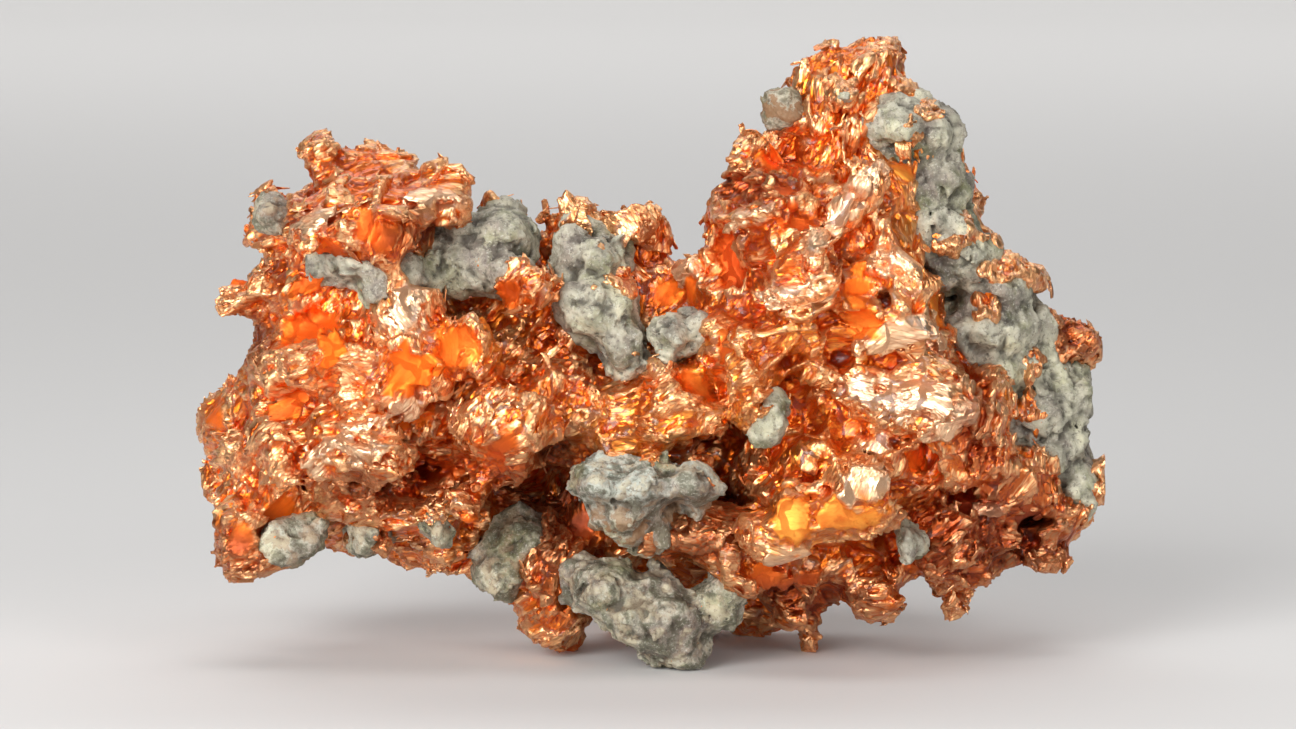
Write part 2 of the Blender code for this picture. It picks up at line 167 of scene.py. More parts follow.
# %% Which way the splinters run
FLOW = np.array((
    # x and z of a place in millimetres, and how steeply the splinters rise to the right, in degrees
    (-15, 23, 20), (-11, 21.8, -8), (-14.5, 20, 12), (-11.2, 18.8, 75), (-15.2, 17, 55),
    (-10.7, 16.4, 100), (-16.5, 14, 10), (-13.5, 12.3, 8), (-12, 10.6, -14), (-15.4, 10, 28),
    (-16.4, 7.6, 48), (-17.5, 5.2, 15), (-9, 11.4, 55), (-6, 15, 45), (-8.4, 7.6, -10), (-5.8, 9.2, 32),
    (-4, 12.8, 50), (-0.9, 10.9, 15), (-3.2, 6, 75), (-9.8, 6.3, 10), (-1.5, 18.5, -55), (1.4, 16, 60),
    (2.6, 12.6, 25), (1, 6.4, -5), (9, 25.4, 72), (8.9, 23.4, 96), (6.6, 22.6, 60), (4.6, 20.6, 8),
    (3.6, 18.4, 80), (8.8, 20.8, 60), (6.4, 17, 15), (10.4, 19.4, 100), (12.2, 17.4, 100),
    (10.6, 15, 22), (11.6, 12.8, -15), (14.4, 11.6, 75), (14.2, 9.2, 62), (16.8, 8.8, 80),
    (15.4, 6.4, 15), (13.2, 4.4, 48), (9.2, 9.4, 60), (8, 7.2, 5), (5.8, 13.4, 40), (5, 10.6, 62),
    (6.2, 5.2, 15), (9.4, 5, 28), (6, 2.8, -30), (18.6, 14.4, 68),
))
FLOW_CORNER, FLOW_STEP, FLOW_SHAPE = (-22.0, -1.0), 0.5, (90, 62)


def flow_map():
    """The splinters' angle on a map of the front view: the mean of the table's rows, each weighted by
    1 / (distance^2 + 0.4)^2. Angles are doubled for the mean, as a line has no front end."""
    x, z = (corner + FLOW_STEP * np.arange(n) for corner, n in zip(FLOW_CORNER, FLOW_SHAPE))
    double = np.radians(2 * FLOW[:, 2])
    away = (x[:, None, None] - FLOW[:, 0]) ** 2 + (z[None, :, None] - FLOW[:, 1]) ** 2
    weight = 1 / (away + 0.4) ** 2
    return np.arctan2((weight * np.sin(double)).sum(-1), (weight * np.cos(double)).sum(-1)) / 2


FLOW_MAP = flow_map().astype(np.float32)


def bundle_direction(middle, owner, salt):
    """Which way the splinters of a broad patch run: the map's angle at the patch's own point, with a
    random turn for each patch."""
    at = [
        np.rint((middle[axis] - corner) / FLOW_STEP).astype(int).clip(0, n - 1)
        for axis, corner, n in zip((0, 2), FLOW_CORNER, FLOW_SHAPE)
    ]
    angle = FLOW_MAP[tuple(at)]
    own = np.stack([2 * hashed(owner, salt + axis) - 1 for axis in range(3)])
    return unit(np.stack([np.cos(angle), 0 * angle, np.sin(angle)]) + np.float32(0.32) * own)


def splinters(offset, owner, along, patch_size, size, stretch, salt):
    """Facets inside broad patches, drawn out along a direction: the way from the patch's own point is
    squeezed along it before the small pattern is looked up. Returns the height and the tone of each
    splinter, and the squeezed way, which the finish reads for finer scores that run alike."""
    way = offset * np.float32(patch_size)
    squeezed = way - along * ((along * way).sum(axis=0) * (1 - 1 / stretch))
    moved = squeezed + np.stack([50 * hashed(owner, salt + 30 + axis) for axis in range(3)])
    height, tone = facets(moved, size, salt, 0.7)
    return height, tone, moved


# %% [markdown]
# ## From a solid to a field of distances
# A crumpled skin has overhangs, pits and torn edges, which a height pushed along the normals can't
# make. So the solid is first turned into a field: a box of small voxels, each holding its distance to
# the surface, negative inside. Taking a height away from the field moves the surface out by that
# height, wherever it faces, and the skin is the place where the field is nought.

# %% Field tools
VOXEL = 0.10
BAND = 1.0
WORKERS = 4
LOW = np.array(CAD_BOX[0]) / MM - BAND - 0.4
GRID_SHAPE = tuple(int(n) for n in np.ceil((np.array(CAD_BOX[1]) / MM + BAND + 0.4 - LOW) / VOXEL))
FIRST = tuple(int(n) for n in np.floor(LOW / VOXEL))
print("grid", GRID_SHAPE, "of", VOXEL, "mm voxels")


def node_triangles(names):
    """Corners and triangles of CAD nodes, as arrays, in millimetres."""
    points, triangles, count = [], [], 0
    for name in names:
        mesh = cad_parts[name].data
        mesh.calc_loop_triangles()
        corners = np.empty(len(mesh.vertices) * 3, np.float32)
        mesh.vertices.foreach_get("co", corners)
        faces = np.empty(len(mesh.loop_triangles) * 3, np.int32)
        mesh.loop_triangles.foreach_get("vertices", faces)
        points.append(corners.reshape(-1, 3) / MM)
        triangles.append(faces.reshape(-1, 3) + count)
        count += len(mesh.vertices)
    return np.concatenate(points), np.concatenate(triangles)


def distance_field(names, voxel=VOXEL, first=FIRST, shape=GRID_SHAPE):
    """Signed distance to the named nodes' surface, in millimetres, cut off at BAND."""
    points, triangles = node_triangles(names)
    grid = openvdb.FloatGrid.createLevelSetFromPolygons(
        points,
        triangles=triangles.astype(np.uint32),
        transform=openvdb.createLinearTransform(voxelSize=voxel),
        halfWidth=BAND / voxel,
    )
    values = np.empty(shape, np.float32)
    grid.copyToArray(values, ijk=first)
    return values


def places_in(mask, voxel=VOXEL, first=FIRST):
    """The middles of a mask's voxels, in millimetres, of shape (3, count)."""
    return np.stack([
        (index + at).astype(np.float32) * np.float32(voxel)
        for index, at in zip(np.nonzero(mask), first)
    ])


def in_chunks(work, place, chunk=120000):
    """Runs work on slices of the places, several at once, and joins the arrays that it returns."""
    slices = [place[:, at:at + chunk] for at in range(0, place.shape[1], chunk)]
    with ThreadPoolExecutor(WORKERS) as pool:
        results = list(pool.map(work, slices))
    return [np.concatenate([result[part] for result in results], -1) for part in range(len(results[0]))]


# %% From the field to a mesh
def skin_of(values, voxel=VOXEL, first=FIRST):
    """The surface where the field crosses nought: its points in millimetres, and its quads."""
    grid = openvdb.FloatGrid(BAND)
    grid.copyFromArray(np.ascontiguousarray(values), ijk=first)
    grid.transform = openvdb.createLinearTransform(voxelSize=voxel)
    points, _, quads = grid.convertToPolygons(isovalue=0.0, adaptivity=0.0)
    return points, quads.astype(np.int32)


def without_crumbs(points, quads):
    """Only the largest connected piece: each point takes the smallest number among its face's
    points, over and over, until nothing changes, so a piece ends with one number."""
    label = np.arange(len(points))
    while True:
        lowest = label[quads].min(axis=1)
        new = label.copy()
        for corner in range(quads.shape[1]):
            np.minimum.at(new, quads[:, corner], lowest)
        new = new[new]
        if (new == label).all():
            break
        label = new
    values, counts = np.unique(label, return_counts=True)
    keep = label == values[counts.argmax()]
    number = np.cumsum(keep) - 1
    return points[keep], number[quads[keep[quads].all(axis=1)]].astype(np.int32)


def mesh_object(name, points, faces):
    """A mesh object from points in millimetres, of shape (count, 3), and an array of faces."""
    mesh = bpy.data.meshes.new(name)
    mesh.vertices.add(len(points))
    mesh.vertices.foreach_set("co", (np.asarray(points, np.float32) * np.float32(MM)).ravel())
    mesh.loops.add(faces.size)
    mesh.loops.foreach_set("vertex_index", faces.astype(np.int32).ravel())
    mesh.polygons.add(len(faces))
    mesh.polygons.foreach_set("loop_start", np.arange(len(faces), dtype=np.int32) * faces.shape[1])
    mesh.update(calc_edges=True)
    obj = bpy.data.objects.new(name, mesh)
    bpy.context.scene.collection.objects.link(obj)
    return obj


def apply_modifiers(obj):
    """Replaces the mesh by what its modifiers make of it."""
    graph = bpy.context.evaluated_depsgraph_get()
    made = bpy.data.meshes.new_from_object(obj.evaluated_get(graph))
    obj.modifiers.clear()
    old, obj.data = obj.data, made
    bpy.data.meshes.remove(old)


def thin_to(obj, triangles):
    """Collapses the flattest edges until about this many triangles are left."""
    now = len(obj.data.loops) - 2 * len(obj.data.polygons)
    if now <= triangles:
        return
    decimate = obj.modifiers.new("thin", "DECIMATE")
    decimate.ratio = triangles / now
    apply_modifiers(obj)


# %% Numbers on a mesh and in a field
def points_of(obj):
    """The mesh's vertices in millimetres, of shape (3, count)."""
    flat = np.empty(len(obj.data.vertices) * 3, np.float32)
    obj.data.vertices.foreach_get("co", flat)
    return flat.reshape(-1, 3).T / np.float32(MM)


def store(obj, name, values):
    """Writes one number, or three, for each vertex as an attribute that a finish can read."""
    values = np.asarray(values, np.float32)
    kind, key = ("FLOAT", "value") if values.ndim == 1 else ("FLOAT_VECTOR", "vector")
    obj.data.attributes.new(name, kind, "POINT").data.foreach_set(key, values.T.ravel())


def blurred(values, reach):
    """The mean over a cube that reaches this many voxels each way, from running sums on each axis."""
    out = values
    for axis in range(3):
        total = np.cumsum(out, axis=axis, dtype=np.float64)
        high = np.minimum(np.arange(out.shape[axis]) + reach, out.shape[axis] - 1)
        low = np.maximum(np.arange(out.shape[axis]) - reach - 1, 0)
        count = (high - low).astype(np.float32)
        shape = [1, 1, 1]
        shape[axis] = -1
        out = ((total.take(high, axis=axis) - total.take(low, axis=axis))
               / count.reshape(shape)).astype(np.float32)
    return out


def sampled(values, place, voxel=VOXEL, first=FIRST):
    """The field's value at each place, from the nearest voxel."""
    index = [
        np.clip(np.rint(place[axis] / voxel).astype(int) - first[axis], 0, values.shape[axis] - 1)
        for axis in range(3)
    ]
    return values[tuple(index)]


def smoothly_sampled(values, place, voxel=VOXEL, first=FIRST):
    """The field's value at each place, blended between the eight voxels round it."""
    at = place / np.float32(voxel) - np.array(first, np.float32)[:, None]
    base = np.floor(at).astype(int)
    part = at - base
    total = np.zeros(place.shape[1], np.float32)
    for corner in range(8):
        step = [(corner >> axis) & 1 for axis in range(3)]
        weight = np.prod([part[axis] if step[axis] else 1 - part[axis] for axis in range(3)], axis=0)
        index = [np.clip(base[axis] + step[axis], 0, values.shape[axis] - 1) for axis in range(3)]
        total += weight * values[tuple(index)]
    return total


# %% [markdown]
# ## Films, plates and pits
# Here and there the torn metal is calmer: a smooth film set back between ledges, a plate that stands
# out over its neighbours, a pit. Each is a short row in a table: what it is, where its middle lies,
# how long and wide it is and how its long axis turns. The field round it is blended towards a plane
# that fits the surface there, so it always sits on the metal.

# %% Table of films, plates and pits
FILMS = (
    # kind, and for each: x and z of the middle, half-sizes (long, short), turn of the long axis in
    # degrees, rise, and slopes along x and z
    ("film", (
        (-10.4, 13.55, 1.7, 0.95, 20, -0.15, 0, 0.15), (-8.2, 14.45, 1.2, 0.7, 38, -0.1, 0, 0.1),
        (-14.7, 14.85, 1.35, 0.85, -18, -0.1, 0, 0.2), (-13.75, 14.4, 0.55, 0.75, 0, -0.05, 0.1, 0),
        (-16.2, 6.95, 1.15, 0.75, 40, -0.1, 0, 0.1), (-15.3, 16.9, 1.05, 0.5, 30, -0.1, 0, 0.1),
        (-6.6, 9.8, 0.8, 0.6, 0, -0.15, 0, 0), (-10.3, 11.2, 0.9, 0.45, 10, -0.1, 0, 0),
        (-15.9, 11.6, 1, 0.45, 25, -0.05, 0, 0.1), (-13.9, 18.8, 0.7, 0.7, 60, -0.05, 0, 0.1),
        (-12.2, 19.6, 0.5, 0.8, -20, -0.05, 0, 0), (-6.15, 16.55, 0.75, 0.55, 15, -0.05, 0, 0.1),
    )),
    ("red", (
        (-10.9, 8.95, 0.85, 0.4, -35, -0.4, 0, 0), (-8.75, 8.6, 0.55, 0.35, -10, -0.45, 0, 0),
        (3.6, 17.9, 0.85, 1.2, 10, -0.45, 0.2, 0), (6.8, 19.9, 0.95, 0.6, 0, -0.5, 0, 0.1),
        (3.4, 14.8, 0.9, 0.7, 20, -0.4, 0, 0), (14.1, 7.2, 0.5, 0.4, 0, -0.2, 0, 0),
        (16.9, 6.4, 0.7, 0.4, -10, -0.2, 0, 0),
    )),
    ("film", (
        (5.8, 21.3, 0.85, 0.7, -30, -0.1, 0, 0.1), (9, 17.25, 0.7, 0.7, 30, -0.15, 0, 0),
        (9.2, 15.6, 0.9, 0.5, 30, -0.1, 0, 0.1), (5, 4.4, 0.7, 0.55, -20, 0.05, 0, 0.1),
        (6.4, 3.95, 0.8, 0.4, 0, 0, 0, 0.1), (12.5, 19, 0.4, 0.9, 0, 0, 0, 0),
    )),
    ("gold", (
        (12.6, 15.9, 0.5, 1.3, -20, 0, 0, 0), (11.2, 22, 0.7, 0.7, 20, 0, 0, 0),
        (6.2, 7.2, 1, 0.95, 15, 0.25, 0, 0.25), (8.5, 7.35, 1.45, 0.72, 3, 0.25, 0, 0.2),
        (-6.6, 14.4, 1.1, 0.8, 35, 0, 0, 0.1),
    )),
    ("plate", (
        (8.8, 20.8, 1.75, 0.6, 57, 0.45, 0.2, 0.25), (6.4, 17, 1.5, 0.5, 14, 0.42, 0, 0.5),
        (7.1, 19, 0.5, 0.75, 0, 0.5, 0, 0.4), (10.9, 18, 1.1, 0.6, -40, 0.4, 0, 0.3),
        (11, 15.1, 1.7, 0.62, 16, 0.25, 0, 0.2), (4.6, 20.1, 1.5, 0.3, 6, 0.4, 0, 0.5),
        (12.9, 11.2, 1.3, 0.6, 35, 0.3, -0.1, 0.2), (6, 5.6, 1.2, 0.55, 20, 0.3, 0, 0.3),
        (1.6, 17.6, 0.9, 0.5, -30, 0.25, 0, 0.3), (11, 12.4, 2.75, 0.95, -14, 0.4, -0.1, 0.25),
        (9.2, 12.75, 0.85, 0.75, 0, 0.35, 0.1, 0.1), (12.5, 14.6, 0.75, 0.55, -40, 0.3, 0, 0.2),
        (9.3, 8.95, 1, 0.72, 40, 0.5, 0, 0.15), (7.5, 8.55, 0.45, 0.4, 0, 0.35, 0, 0.1),
        (9.9, 10.2, 1, 0.55, 20, 0.2, 0, 0.2), (-10.5, 12.05, 0.95, 0.75, -35, 0.25, 0.1, 0.3),
        (-13.4, 10.5, 1.9, 0.45, 16, 0.3, 0, 0.4), (-12.3, 10.15, 1.2, 0.4, -5, 0.3, 0, 0.4),
        (-10.5, 16.35, 0.7, 1.2, 0, 0.2, 0.1, 0.2), (-14.6, 19.9, 1, 0.55, 15, 0.2, 0, 0.4),
        (-9.7, 20.9, 1.2, 0.5, 5, 0.25, 0, 0.4), (15, 6.95, 0.55, 0.3, -5, 0.25, 0, 0.3),
    )),
    ("pit", (
        (-9.95, 12.65, 0.25, 0.3, 0, 0.7, 0, 0), (-15.1, 8.25, 0.28, 0.24, 0, 0.8, 0, 0),
        (10.15, 16.75, 0.48, 0.48, -30, 1, 0, 0), (7.15, 18, 0.5, 0.22, -20, 0.8, 0, 0),
        (-12.4, 9.15, 0.42, 0.35, 0, 1, 0, 0), (-9.9, 8.75, 0.62, 0.35, -15, 1, 0, 0),
        (-4.4, 9.7, 0.8, 0.9, 0, 1.8, 0, 0), (-12.7, 17.8, 1.45, 0.5, -12, 1.6, 0, 0),
        (-12.6, 8.3, 0.6, 0.45, 0, 1.1, 0, 0), (-8.4, 8.6, 0.5, 0.3, 0, 0.8, 0, 0),
        (2.2, 9.9, 0.5, 0.35, -30, 0.9, 0, 0), (8.3, 13.9, 0.6, 0.22, 25, 0.6, 0, 0),
        (17, 5.2, 0.65, 0.55, 0, 1.5, 0, 0),
    )),
)
CAD_SLOPE_REACH = 0.9      # millimetres over which the surface's own slope is averaged
CHIP = 0.62                # size of the chips that a film's torn rim follows


copper_distance = distance_field(["copper"])
calm_distance = blurred(copper_distance, round(CAD_SLOPE_REACH / VOXEL))
SLOPE = [np.gradient(calm_distance, axis=axis) for axis in range(3)]


def front_place(x, z):
    """The first place on the copper that a line from the front meets at (x, z), in millimetres."""
    column = copper_distance[round(x / VOXEL) - FIRST[0], :, round(z / VOXEL) - FIRST[2]]
    at = int(np.argmax(column < 0))
    return np.array([x, (at + FIRST[1] - column[at] / (column[at - 1] - column[at])) * VOXEL, z])


def fitted_axes(place, turn, slope_x, slope_z):
    """Three directions at a place on the surface: long and short in its plane, and outwards. The
    outward one is the field's averaged slope, tipped by the given slopes; the long one is the turned
    direction of the front view, pressed into the plane."""
    out = np.array([sampled(slope, place[:, None])[0] for slope in SLOPE])
    out = out / np.linalg.norm(out) + np.array([slope_x, 0, slope_z])
    out /= np.linalg.norm(out)
    turn = math.radians(turn)
    long = np.array([math.cos(turn), 0, math.sin(turn)])
    long -= out * (long @ out)
    long /= np.linalg.norm(long)
    return long, np.cross(out, long), out


def film_frames():
    """Each row of the table with its middle on the surface and its three directions."""
    frames = []
    for kind, rows in FILMS:
        for x, z, long, short, turn, rise, slope_x, slope_z in rows:
            place = front_place(x, z)
            frames.append((kind, place, (long, short), rise, fitted_axes(place, turn, slope_x, slope_z)))
    return frames


FILM_FRAMES = film_frames()
print(len(FILM_FRAMES), "films, plates and pits; depths",
      [round(float(film[1][1]), 1) for film in FILM_FRAMES])


# %% Films set into the field
def film_place(film, place):
    """A place in a film's own directions: along, across and out, and how near the rim it lies, as a
    share of the half-sizes. The rim jumps from chip to chip, as a torn edge does."""
    _, middle, halves, _, axes = film
    away = place - middle[:, None].astype(np.float32)
    along, across, out = (np.tensordot(axis.astype(np.float32), away, 1) for axis in axes)
    torn = away - np.float32(0.8 * CHIP) * patches(place, CHIP, 330)[0]
    torn_along, torn_across = (np.tensordot(axis.astype(np.float32), torn, 1) for axis in axes[:2])
    rim = np.sqrt((torn_along / halves[0]) ** 2 + (torn_across / halves[1]) ** 2)
    rim = rim - 0.05 + np.float32(0.45) * smooth_noise(place, 0.9, 300)
    return along, across, out, rim


def block_round(middle, reach):
    """The slices of the grid within reach of a place, and the places of their voxels."""
    block = tuple(
        slice(max(0, int((middle[axis] - reach) / VOXEL) - FIRST[axis]),
              int((middle[axis] + reach) / VOXEL) - FIRST[axis] + 1)
        for axis in range(3)
    )
    axes = [
        (np.arange(part.start, min(part.stop, count)) + first) * VOXEL
        for part, count, first in zip(block, GRID_SHAPE, FIRST)
    ]
    grid = np.stack(np.meshgrid(*axes, indexing="ij")).astype(np.float32)
    return block, grid.reshape(3, -1), grid.shape[1:]


def set_film(values, film):
    """Blends the field towards the film's plane inside its rim, or hollows a pit. A plate's plane
    stands out and a thin slot is cut behind its lower rim, so that it casts a shadow."""
    kind, middle, halves, rise, _ = film
    block, place, shape = block_round(middle, max(halves) * 1.5 + 0.8)
    along, across, out, rim = film_place(film, place)
    old = values[block].reshape(-1)
    if kind == "pit":
        deep = np.sqrt(rim**2 + (out / np.float32(rise)) ** 2)
        new = np.maximum(old, (1 - deep) * np.float32(min(halves)))
    else:
        soft = 0.10 if kind == "plate" else 0.14
        share = ((1 + soft - rim) / (2 * soft)).clip(0, 1) * (np.abs(out) < 1.1)
        bend = 0.10 * (along / halves[0]) ** 2 + 0.12 * (across / halves[1]) ** 2
        bend = -bend if kind in ("film", "red") else bend
        new = old * (1 - share) + share * (out - np.float32(rise) + bend)
        if kind == "plate":
            slot = np.maximum(np.abs(out - np.float32(rise - 0.36)) - 0.18, np.abs(rim - 1.05) - 0.32)
            new = np.where(across < 0.2, np.maximum(new, -slot), new)
    values[block] = new.reshape(shape)


def film_cover(kinds, place, reach=0.9):
    """1 where a place lies on a film of one of these kinds, fading over the rim."""
    cover = np.zeros(place.shape[1], np.float32)
    for film in FILM_FRAMES:
        if film[0] in kinds:
            near = (np.abs(place - film[1][:, None]) < max(film[2]) * 1.4 + 0.3).all(axis=0)
            if near.any():
                _, _, out, rim = film_place(film, place[:, near])
                share = ((1.12 - rim) / 0.24).clip(0, 1) * (np.abs(out) < reach)
                cover[near] = np.maximum(cover[near], share)
    return cover


# %% [markdown]
# ## The crumpled copper
# The metal shows three sizes of facet. Broad patches about 2 mm wide lean together in beds. Each is
# broken into splinters that run along a direction which neighbours share, as torn wood does, and
# where the metal is most torn, small flakes cover both. Some broad patches stay calm, smooth films.

# %% Zones of the front
GOLDEN = (
    # x and z of the middle, and half-sizes along x and z, of zones with a golden film, in millimetres
    (-0.9, 10.9, 2.8, 1.5), (11.9, 20.6, 0.9, 3.2), (6.4, 15, 3.2, 1.4), (4.8, 12.4, 2.6, 1.6),
    (7.4, 10.4, 2.4, 1.3), (8, 6.6, 3.4, 1.4), (-6.6, 14.6, 1.3, 1.1),
)
# zones painted dark red, a painted shade in recesses
REDDENED = (
    (3.9, 18.4, 1.7, 2.8), (4.8, 14.8, 1.3, 1.4), (7, 20.2, 1.5, 1), (14.6, 6.6, 3, 2),
    (-6.6, 10.2, 1.5, 1.8), (-9.2, 8.8, 1.9, 1), (-3.4, 13.4, 1.3, 1.6), (-0.6, 17, 1.5, 1.4),
    (-12.6, 18.6, 2.2, 0.9), (-5.8, 16.9, 1.3, 0.9), (-16.8, 10.8, 1.8, 0.9), (-15.4, 17.6, 1.4, 1.1),
    (-14.8, 22.8, 1.2, 0.9), (6.2, 21.9, 1.2, 1), (-13.8, 20.6, 3.2, 1.7), (15, 5.4, 3.2, 2),
)
# zones painted darker brown, mostly low on the front and on its sides, where the coat is thinner too
BROWNED_ZONES = (
    (15.6, 5.4, 5, 2.8), (6.5, 2.9, 4.6, 1.5), (0.8, 6.2, 3.4, 1.3), (-4.2, 6.6, 2.8, 3.2),
    (-17.4, 5.2, 2.2, 1.3), (-12.3, 8.2, 1.6, 1.4), (-17.6, 14.6, 0.9, 1.5), (18.8, 14.3, 1.6, 1.9),
    (14.3, 10.6, 0.9, 2.4), (-12.4, 5.6, 1, 0.8), (-10, 19.4, 1.2, 0.9), (4.3, 21.4, 1.5, 0.9),
)
BOLD = (
    # zones where the patches stand out boldly and their splinters are faint
    (8.6, 16, 6.2, 9), (-11, 21, 4.6, 1.6), (-1, 18.4, 2.6, 2.4), (4.5, 5.4, 5.5, 1.8),
)
SHADED_HOLLOWS = (
    # deep hollows, painted nearly black inside: a painted shade
    (-4.9, 7.3, 1.7, 2), (-4.3, 9.8, 1, 1), (-12.8, 17.7, 1.5, 0.8), (-12.5, 8.2, 0.8, 0.7),
    (2.3, 9.9, 0.7, 0.4), (17.2, 6, 1, 0.5), (3.4, 7.2, 0.7, 0.5), (15.8, 4.6, 1.1, 0.6),
    (2.6, 5.6, 1.8, 0.6), (10.3, 16.9, 0.5, 0.4),
)
# zones painted paler: a painted highlight on the plates of the peak and across the left lobe
HIGHLIGHT_ZONES = (
    (11.4, 12.4, 3, 1.9), (9.2, 9, 1.4, 1.2), (-12.8, 10.6, 4.4, 1), (-10.6, 16.4, 1.5, 1.6),
    (8.8, 20.8, 1.6, 1.8), (7.2, 17.6, 1.8, 1.4), (-16.4, 13.2, 1.6, 1.6), (-17, 8.8, 1.6, 1.6),
    (-13, 12.8, 3.6, 1.4), (-14.4, 7.6, 3, 1.5), (-9.4, 11.8, 2.2, 1.4),
)
FRONT = 0.5                # the zones lie on the metal in front of this y


def zone(place, table, soft=0.5):
    """1 inside any ellipse of the front view, fading to 0 over its ragged rim."""
    ragged = np.float32(0.3) * smooth_noise(place, 1.1, 320)
    shares = []
    for x, z, half_x, half_z in table:
        far = np.hypot((place[0] - x) / half_x, (place[2] - z) / half_z) + ragged
        shares.append(((1 + soft - far) / (2 * soft)).clip(0, 1))
    return np.max(shares, axis=0) * (place[1] < FRONT)


# %% Long folds
RIDGES = (
    # half-width, height and the (x, z) points of each fold on the front, in millimetres
    (0.17, 0.30, ((9.7, 27.0), (9.2, 25.8), (8.7, 24.6), (8.5, 23.4), (8.6, 22.4))),
    (0.14, 0.26, ((10.1, 26.6), (9.6, 25.4), (9.0, 24.2), (8.9, 23.0), (9.1, 22.3))),
    (0.18, 0.30, ((10.6, 26.3), (10.2, 25.3), (9.6, 24.5), (9.4, 23.6))),
    (0.13, 0.22, ((8.3, 25.0), (8.1, 24.0), (8.2, 22.9))),
    (0.16, 0.28, ((10.3, 19.9), (10.5, 19.2), (11.0, 18.4), (11.7, 17.6))),
    (0.15, 0.26, ((14.8, 13.2), (14.3, 12.2), (14.2, 11.2), (14.0, 10.2), (13.6, 9.4))),
    (0.15, 0.26, ((15.2, 12.6), (14.9, 11.6), (14.7, 10.6), (14.6, 9.6), (14.3, 8.8))),
    (0.13, 0.24, ((15.6, 11.6), (15.3, 10.6), (15.2, 9.6))),
    (0.14, 0.22, ((-14.2, 11.3), (-12.6, 11.0), (-11.2, 10.5), (-10.2, 10.1))),
    (0.12, 0.20, ((-14.6, 10.7), (-13.2, 10.5), (-12.0, 10.2))),
    (0.14, 0.22, ((-17.6, 6.8), (-16.9, 8.2), (-16.0, 9.4), (-14.8, 10.4))),
    (0.12, 0.20, ((-17.2, 6.5), (-16.3, 7.9), (-15.2, 9.2), (-14.0, 10.0))),
    (0.11, 0.20, ((-7.0, 13.6), (-6.2, 14.6), (-5.2, 15.6))),
    (0.11, 0.20, ((-6.6, 13.2), (-5.7, 14.3), (-4.8, 15.2))),
    (0.11, 0.20, ((-6.1, 12.9), (-5.3, 13.9), (-4.4, 14.8))),
    (0.13, 0.26, ((4.4, 12.3), (5.4, 12.8), (6.4, 13.8))),
    (0.13, 0.26, ((4.1, 12.9), (5.1, 13.5), (5.9, 14.3))),
    (0.13, 0.26, ((4.8, 11.8), (5.8, 12.2), (6.9, 13.3))),
    (0.17, 0.36, ((3.0, 19.9), (4.0, 20.2), (5.6, 20.4))),
    (0.17, 0.36, ((3.4, 21.7), (4.4, 21.9), (5.2, 21.6))),
    (0.15, 0.30, ((4.6, 16.2), (5.6, 15.9), (6.8, 15.9), (7.8, 16.4))),
)


def ridges(place):
    """Rounded folds on the front: height * (1 - (distance / half-width)^2), where the distance from
    the fold's line is taken in the front view and wanders a little."""
    height = np.zeros(place.shape[1], np.float32)
    for half, rise, points in RIDGES:
        line = np.array(points, np.float32)
        low, high = line.min(axis=0) - 2 * half - 0.3, line.max(axis=0) + 2 * half + 0.3
        near = ((place[0] > low[0]) & (place[0] < high[0]) & (place[2] > low[1])
                & (place[2] < high[1]) & (place[1] < FRONT))
        if near.any():
            at = place[::2, near] + np.float32(0.20) * vector_noise(place[:, near], 0.7, 340)[::2]
            far = np.full(at.shape[1], 9.0, np.float32)
            for start, end in zip(line[:-1, :, None], line[1:, :, None]):
                share = ((at - start) * (end - start)).sum(axis=0) / ((end - start) ** 2).sum()
                away = at - start - (end - start) * share.clip(0, 1)
                far = np.minimum(far, np.hypot(away[0], away[1]))
            height[near] = np.maximum(height[near], rise * (1 - (far / (1.5 * half)) ** 2).clip(0, 1))
    return height


# %% The copper's relief
BROAD, SPLINTER, FLAKE = 1.7, 0.38, 0.32
CALM_SHARE = 0.05          # of the broad patches are smooth films


def broad_patches(place):
    """Patches in places bent a little, so that their borders and the splinters curve."""
    return patches(place + np.float32(0.35) * vector_noise(place, 1.5, 50), BROAD, 60)


def copper_relief(place):
    """Height of the skin over the solid, in millimetres, and the numbers that the finish reads."""
    bed = vector_noise(place, 5.0, 40) * np.float32(1.1)
    offset, owner = broad_patches(place)
    lean = np.stack([2 * hashed(owner, 65 + axis) - 1 for axis in range(3)]) * np.float32(0.8)
    patch = hashed(owner, 69)
    broad = 1.3 * ((lean + bed) * offset).sum(axis=0) + 0.55 * (patch - 0.5)
    along = bundle_direction(place - offset * np.float32(BROAD), owner, 80)
    stretch = 2 + 4 * hashed(owner, 78)
    splinter, splinter_tone, combed = splinters(offset, owner, along, BROAD, SPLINTER, stretch, 70)
    torn = (0.45 + 1.3 * smooth_noise(place, 2.6, 95)).clip(0, 1)
    film = film_cover(("film", "red", "gold"), place)
    plate = film_cover(("plate",), place)
    rim = 1 - 2.1 * np.sqrt((offset**2).sum(axis=0))
    own_film = (hashed(owner, 75) < CALM_SHARE) * (3 * rim).clip(0, 1) * (1 - plate)
    window = np.maximum(film, own_film)
    bold = zone(place, BOLD)
    rough = (1 - 0.85 * window) * (1 - 0.88 * plate) * (1 - 0.40 * bold)
    small, small_tone = facets(place, FLAKE, 90)
    crease = (1 - 2.4 * np.abs(smooth_noise(place, 0.9, 100))).clip(0, 1)
    wide = 1 - 0.85 * np.maximum(film, plate)
    height = (
        (0.15 + 0.17 * bold) * broad * wide                          # broad patches
        + (0.10 + 0.16 * hashed(owner, 76)) * splinter * rough       # splinters
        + (0.02 + 0.06 * torn) * small * rough                       # flakes
        - 0.16 * torn * crease * rough                               # creases between them
        + 0.05 * window * smooth_noise(place, 0.8, 105)              # the films' faint swell
        + ridges(place)                                              # long folds
    )
    return height, patch, splinter_tone, small_tone, torn, window, plate, combed


